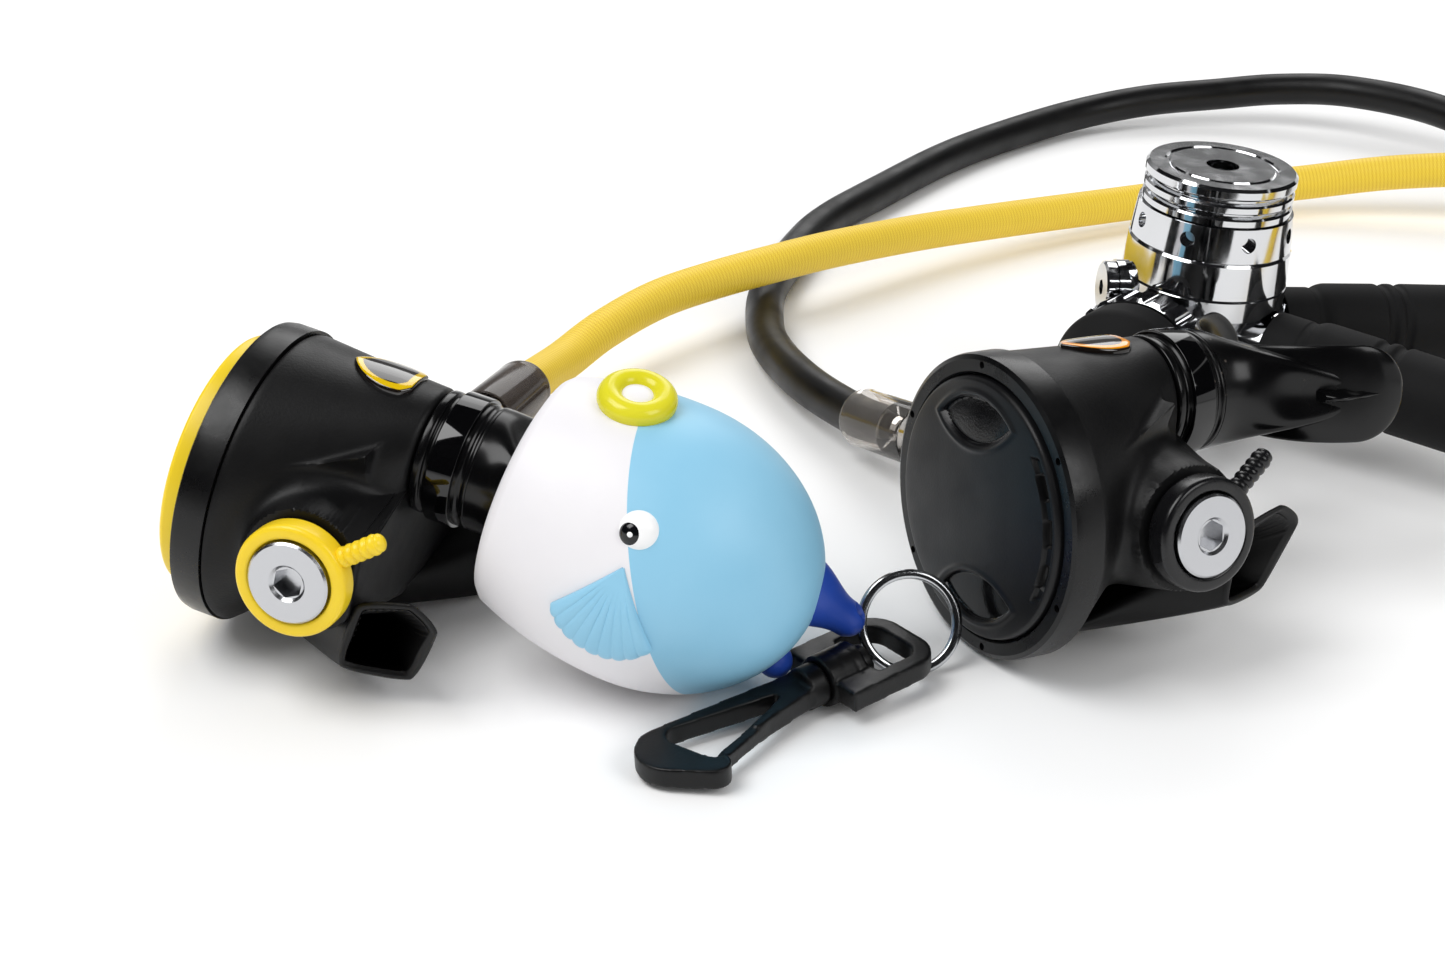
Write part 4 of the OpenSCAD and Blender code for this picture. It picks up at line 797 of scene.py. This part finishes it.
# ------------------------ plated fittings
# Plugs, nuts and swaged ferrules: brass, machined, then nickel and chrome
# plated. The plugs' faces keep a turned grain under the plate.
# Wiped smears about 6 mm across
chrome = textured("polished_chrome", "#d6d7d9", patches=(160, 3, 0.5, 0.4, 0.8, 0.06, 0.14),
                  Metallic=1.0)
turned_plate = textured("turned_chrome", "#c2c3c6", grain=(1300, 2, 0.5, 0.12, 0.00008), Metallic=1.0,
                        Roughness=0.24)
dress(both("end_plug"), turned_plate)
dress(both("hose_nut", "valve_barrel", "hose_end"), chrome)


# ------------------------ bend sleeves at the second stages
# Smoky clear vinyl pushed over each ferrule and the first of the hose: the
# metal and the rubber show through it, a little darker.
SLEEVES = {key: textured(key + "_clear_vinyl", thin, thick, dye=(90, 3, 0.5), Roughness=rough, IOR=1.3,
                         Transmission_Weight=clear)
           for key, thin, thick, rough, clear in (("main", "#d8d2cc", "#e8e4df", 0.0, 0.97),
                                                  ("octo", "#564e49", "#6b625c", 0.12, 0.6))}
sleeve_profile = rounded([(6.25, 0), (7.9, 0), (8.35, 1.4), (8.2, 3.2), (8.3, 29.8), (7.75, 29.8),
                          (7.5, 18.9), (6.25, 18.4)], 0.5, 3)[1:-1]
for name, turn, at in SECOND_STAGES:
    sleeve = lathe(name + "_bend_sleeve", sleeve_profile, SLEEVES[name], "set", turn, at,
                   (-STUB_X - FITTING_L - 19, BARREL_Y, BARREL_Z), (1, 0, 0), 96)
    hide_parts(name + "_hose_sleeve")


# ------------------------ first stage
# The pressure reducer: forged brass, turned and plated. The spring cap has
# three flanges and a hex socket, and the clamp ring has eight pin holes.
dress(["fs_body", "fs_clamp_ring", "fs_cap", "fs_din_stem", "fs_din_wheel", "fs_port_plugs",
       "fs_adjuster"], chrome)


# ------------------------ hose guards and dust cap
# Thick guards of matt black rubber over the nuts and the first of each
# hose, with two moulded grooves, and a rubber cap over the connector.
# Chalky bloom in patches of 15 mm, and a skin of 0.5 mm grain
guard_rubber = textured("matt_black_rubber", "#0d0d0e", "#161617", dye=(70, 5, 0.5),
                        grain=(1600, 3, 0.5, 0.3, 0.0001), Roughness=0.7, specular=0.22)
GUARD_START, GUARD_L = 5, 92.4
guard_profile = rounded([
    (10.15, -4.2), (10.85, -4.2), (10.85, 5), (10.6, 5.5), (10.6, 6.8), (11.5, 8.3), (11.95, 10),
    (11.95, 25.4), (11.1, 26.2), (11.1, 27.8), (11.95, 28.6), (11.95, 30.4), (11.1, 31.2), (11.1, 32.8),
    (11.95, 33.6),
    (11.35, GUARD_L - 8), (9.2, GUARD_L - 0.1), (6.35, GUARD_L - 0.1), (6.35, 36), (7.55, 35),
    (7.55, 8.6), (10.15, 8.0), (10.15, 4.6)], 0.8, 4)[1:-1]
for name, port_way in PORT_WAYS.items():
    out = heading(port_way)
    guard = lathe(name + "_hose_guard", guard_profile, guard_rubber, "set", STAGE_TURN, STAGE_AT,
                  out * (PORT_FACE + GUARD_START) + [0, 0, PORT_Z], out, 120)
    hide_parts(name + "_guard")

din_out = heading(233)
cap_profile = rounded([(11.8, 0.05), (19.9, 0.05), (19.9, 9), (14, 16.9), (0.02, 16.9)], 1.6, 6)
cap_profile = np.vstack([[11.8, 15.6], cap_profile, [0.02, 15.7]])
cap = lathe("rubber_dust_cap", cap_profile, guard_rubber, "fs_cover", STAGE_TURN, STAGE_AT,
            din_out * 35.2 + [0, 0, 26], din_out, 144)
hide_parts("fs_dust_cap")


# ------------------------ mouthpiece holder
# A squeezable holder for the spare mouthpiece, cast in soft vinyl as a
# plain round fish: white in front, light blue behind, dark blue tail. The
# features are general ones, and it bears no mark.
HOLDER = OCTO_TURN @ turned((-4.6, 0, 0)), OCTO_TURN @ np.array([0, 59, TUBE_Z]) + OCTO_AT
HOLDER_R, HOLDER_L, WIDEST = 33.75, 84, 0.52


def holder_radius(y, r, length):
    """The fish's radius at a distance from its mouth: two quarter ovals that meet at its widest."""
    t = np.where(y < WIDEST * length, (y - WIDEST * length) / (length * 0.69),
                 (y - WIDEST * length) / (length * (1 - WIDEST)))
    return r * np.sqrt(np.clip(1 - t ** 2, 0, 1))


def vinyl(name, colour, other, rough=0.42):
    """Cast vinyl of one colour with slight uneven dye, in patches of 20 mm, and a fine skin."""
    return textured(name, colour, other, dye=(50, 4, 0.5), grain=(900, 2, 0.5, 0.15, 0.0001),
                    Roughness=rough, specular=0.4)


white_vinyl = vinyl("white_cast_vinyl", "#e6e4e8", "#f0eef0")
sky_vinyl = vinyl("light_blue_cast_vinyl", "#86c2e0", "#97cde8")
navy_vinyl = vinyl("dark_blue_cast_vinyl", "#1c3f9e", "#2a50b0")
lime_vinyl = vinyl("yellow_cast_vinyl", "#d6cd1a", "#e0d832", 0.2)


# The two colours meet on a plane that leans: y = 50.5 - 0.55 z
SPLIT_Y, SPLIT_LEAN, FRONT_Y = 50.5, 0.55, 12.5
lean = circle(180)


def split_at(r, share, low, high):
    """Rows of points on the body between two leaning bounds: each low and high is a distance
    along the axis and how far it leans, and share runs from one bound to the other."""
    length = HOLDER_L - HOLDER_R + r
    y = np.full((len(share), 180), 40.0)
    for _ in range(30):
        z = holder_radius(y, r, length) * np.sin(lean)
        bounds = [np.clip(k[0] - k[1] * z, FRONT_Y, length - 0.02) for k in (low, high)]
        y = 0.5 * y + 0.5 * (bounds[0] + share[:, None] * (bounds[1] - bounds[0]))
    out = holder_radius(y, r, length)
    return np.stack([out * np.cos(lean), y, out * np.sin(lean)], -1)


def holder_shell(name, low, high, share, material, lip=[]):
    """Part of the hollow body: its outside, then back along its inside, 2.5 thinner."""
    rows = [np.stack([r * np.cos(lean), y + 0 * lean, r * np.sin(lean)], -1)[None] for r, y in lip]
    rows += [split_at(HOLDER_R - 0.05, share, low, high),
             split_at(HOLDER_R - 2.6, share[::-1], low, high)]
    return skin(name, in_set(np.concatenate(rows), *HOLDER), material, "set", loop=True)


rear_share = np.sin(math.pi / 2 * np.linspace(0, 1, 60))
front_share = np.linspace(0, 1, 50)
front = holder_shell("fish_front", (FRONT_Y, 0), (SPLIT_Y, SPLIT_LEAN), front_share, white_vinyl,
                     [(16.8, 13.0), (16.8, 11.0), (17.6, 10.2), (24.6, 10.2), (26.8, 10.9)])
rear = holder_shell("fish_rear", (SPLIT_Y, SPLIT_LEAN), (HOLDER_L, 0), rear_share, sky_vinyl)
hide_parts("holder_body")


def ball(name, centre, radius, material, squash=(1, 1, 1)):
    """An oval ball in the holder's frame: rings from pole to pole."""
    lat = np.linspace(-math.pi / 2 + 0.02, math.pi / 2 - 0.02, 33)[:, None]
    lon = circle(48)[None, :]
    rows = radius * np.stack([np.cos(lat) * np.cos(lon), np.cos(lat) * np.sin(lon),
                              np.sin(lat) + 0 * lon], -1) * squash + centre
    made = skin(name, in_set(rows, *HOLDER), material, "set", True)


eye_white = vinyl("white_painted_vinyl", "#f4f4f4", "#fbfbfb", 0.25)
eye_black = textured("black_gloss_paint", "#0b0c0f", patches=(900, 2, 0.5, 0, 1, 0.08, 0.2))
# Each eye: a white, a black pupil, and on the pupil a small white ball, a painted highlight
for side, label in SIDES:
    ball("eye_" + label, (side * 27.4, 44.5, 14.3), 5.3, eye_white, (0.85, 1, 1))
    ball("pupil_" + label, (side * 29.9, 43.7, 14.6), 3.1, eye_black, (0.75, 1, 1))
    ball("glint_" + label, (side * 32.1, 43.5, 15.2), 0.65, eye_white, (0.6, 1, 1))

# Each fin is a scallop fan laid on the flank: its middle way and half spread in degrees, its reach
# in millimetres, with eight fine grooves and an edge that stands off the body
FIN_WAY, FIN_SPREAD, FIN_REACH = -92, 37, 24.5
f = np.linspace(-1, 1, 161)
way = np.radians(FIN_WAY + FIN_SPREAD * f)
out_by = np.linspace(0.02, 1, 32)[:, None]
groove = np.abs(np.sin(math.pi * 4.5 * (f + 1))) ** 0.4
edge = FIN_REACH * (1 - 0.14 * f ** 2) * (0.965 + 0.035 * groove)
fin_y, fin_z = 44.7 + out_by * edge * np.cos(way), 8 + out_by * edge * np.sin(way)
body_x = np.sqrt(np.clip(holder_radius(fin_y, HOLDER_R, HOLDER_L) ** 2 - fin_z ** 2, 1, None))
rim = np.sqrt(np.clip(1 - np.abs(f) ** 14, 0, 1)) * np.sqrt(np.clip(1 - out_by ** 24, 0, 1))
stand = (0.5 + 1.9 * out_by + 0.35 * groove * smoothstep(0.15, 0.5, out_by)) * rim
for side, label in SIDES:
    rows = np.concatenate([np.stack([side * (body_x + stand), fin_y, fin_z], -1),
                           np.stack([side * (body_x - 0.5), fin_y, fin_z], -1)[::-1]])
    fin = skin("fin_" + label, in_set(rows, *HOLDER), sky_vinyl, "set", wrap=False, loop=True)

cushion = circle(40)
ring_profile = np.stack([6.2 + 3.0 * np.cos(cushion), 3.0 * np.sin(cushion)], -1)
top_axis = np.array([0.28, -0.10, 0.955])
top_at = np.array([4.4, 29.9, 32.5]) + 1.0 * top_axis
loop_top = lathe("fish_top_ring", ring_profile, lime_vinyl, "set", *HOLDER, top_at, top_axis, 96)
button_profile = [(0.03, 1.9), (2.2, 1.8), (3.4, 1.4), (4.6, 0.4), (5.0, -2.6), (0.03, -2.6)]
top_button = lathe("fish_top_button", button_profile, white_vinyl, "set", *HOLDER, top_at, top_axis, 64)


def lobe(name, start, start_r, end, end_r, flat):
    """A tail lobe: a tapering rod with round ends, pressed a little flat."""
    start, end = np.array(start, float), np.array(end, float)
    span = np.linalg.norm(end - start)
    h = np.concatenate([-start_r * np.cos(np.linspace(0.05, math.pi / 2, 14)),
                        np.linspace(0, span, 24)[1:-1],
                        span + end_r * np.sin(np.linspace(0, math.pi / 2 - 0.05, 14))])
    r = np.where(h < 0, np.sqrt(np.clip(start_r ** 2 - h ** 2, 0, None)),
                 np.where(h > span, np.sqrt(np.clip(end_r ** 2 - (h - span) ** 2, 0, None)),
                          start_r + (end_r - start_r) * smoothstep(0, 1, h / span)))
    axis = unit(end - start)
    side = unit(np.cross(axis, [0, 0, 1.0]))
    up = np.cross(axis, side)
    a = circle(64)[None, :, None]
    round_it = np.cos(a) * side + flat * np.sin(a) * up
    rows = start + h[:, None, None] * axis + r[:, None, None] * round_it
    made = skin(name, in_set(rows, *HOLDER), navy_vinyl, "set", True)
    return made


upper_lobe = lobe("tail_upper", (-5.5, 77.5, 2), 9.2, (-12.9, 89.7, -4.1), 4.9, 0.9)
lobe("tail_lower", (2, 68, -8), 6.6, (0, 79, -15), 4.6, 0.9)
# The split ring's hole is cut through the upper lobe
drill_way = turned((-31, 4, 0)) @ np.array([0, 0, 1.0])
drill = lathe("drill", [(0.02, -12), (2.25, -12), (2.25, 12), (0.02, 12)], navy_vinyl, "set", *HOLDER,
              (-13.5, 90.5, -4.4), drill_way, 40)
cut = upper_lobe.modifiers.new("hole", "BOOLEAN")
cut.object = drill
cut.operation = "DIFFERENCE"
holed = bpy.data.meshes.new_from_object(upper_lobe.evaluated_get(bpy.context.evaluated_depsgraph_get()))
upper_lobe.modifiers.clear()
upper_lobe.data = holed
bpy.data.objects.remove(drill)


# ------------------------ split ring and clip
# A hardened steel split ring, wound twice, joins the holder's tail to a
# swivel clip moulded in black acetal.
steel = textured("polished_spring_steel", "#c3c5c8", patches=(500, 3, 0.5, 0, 1, 0.08, 0.26),
                 Metallic=1.0)
RING_TURN = turned((0, 61.3, -80.6))
RING_AT = SET_SHIFT + (44, -98.6, 11.4)
wind = np.linspace(0, 4 * math.pi, 241)
step = 1.24 * smoothstep(1.8 * math.pi, 2.25 * math.pi, wind) - 0.62
coil = np.stack([11.5 * np.cos(wind), 11.5 * np.sin(wind), step], -1)
along = unit(np.gradient(coil, axis=0))
outwards = np.stack([np.cos(wind), np.sin(wind), 0 * wind], -1)
upwards = np.cross(outwards, along)
a = circle(20)[None, :, None]
wire = coil[:, None, :] + 1.15 * np.cos(a) * outwards[:, None, :] + 0.6 * np.sin(a) * upwards[:, None, :]
wound = skin("wound_ring", in_set(wire, RING_TURN, RING_AT), steel, "ring", True)
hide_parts("split_ring")

# Rubbed patches of 8 mm and a moulded skin about 0.6 mm in grain
clip_acetal = textured("black_acetal", "#0b0b0c", patches=(130, 4, 0.5, 0.3, 0.75, 0.28, 0.46),
                       grain=(1200, 3, 0.5, 0.25, 0.0001), specular=0.3)
dress(["clip_eye", "clip_hook"], clip_acetal)
for name in ("clip_eye", "clip_hook"):
    # The mould's soft corners: the solid in cubes of 0.4 mm, eased
    nodes[name].modifiers.remove(nodes[name].modifiers["corners"])
    cubes = nodes[name].modifiers.new("cubes", "REMESH")
    cubes.mode = "VOXEL"
    cubes.voxel_size = 0.0004
    cubes.use_smooth_shade = True
    eased = nodes[name].modifiers.new("eased", "SMOOTH")
    eased.factor = 0.5
    eased.iterations = 8


# ------------------------ inner pieces
# What works inside: steel springs and levers, brass seats, acetal poppets
# and silicone diaphragms.
spring_wire = textured("spring_steel_wire", "#b4b6b9", patches=(700, 2, 0.5, 0, 1, 0.16, 0.3),
                       Metallic=1.0)
dress(both("poppet_spring", "demand_lever")
      + ["fs_main_spring", "fs_seat_spring", "fs_lifter", "fs_seat_poppet"], spring_wire)
brass = textured("turned_brass", "#c79a4b", patches=(900, 2, 0.5, 0, 1, 0.22, 0.38), Metallic=1.0)
dress(both("orifice") + ["fs_filter"], brass)
acetal = vinyl("white_acetal", "#e4e3dc", "#ecebe4", 0.38)
dress(both("poppet"), acetal)
grey_silicone = vinyl("grey_silicone", "#858b92", "#90969c", 0.45)
dress(both("diaphragm", "exhaust_valve") + ["fs_diaphragm"], grey_silicone)
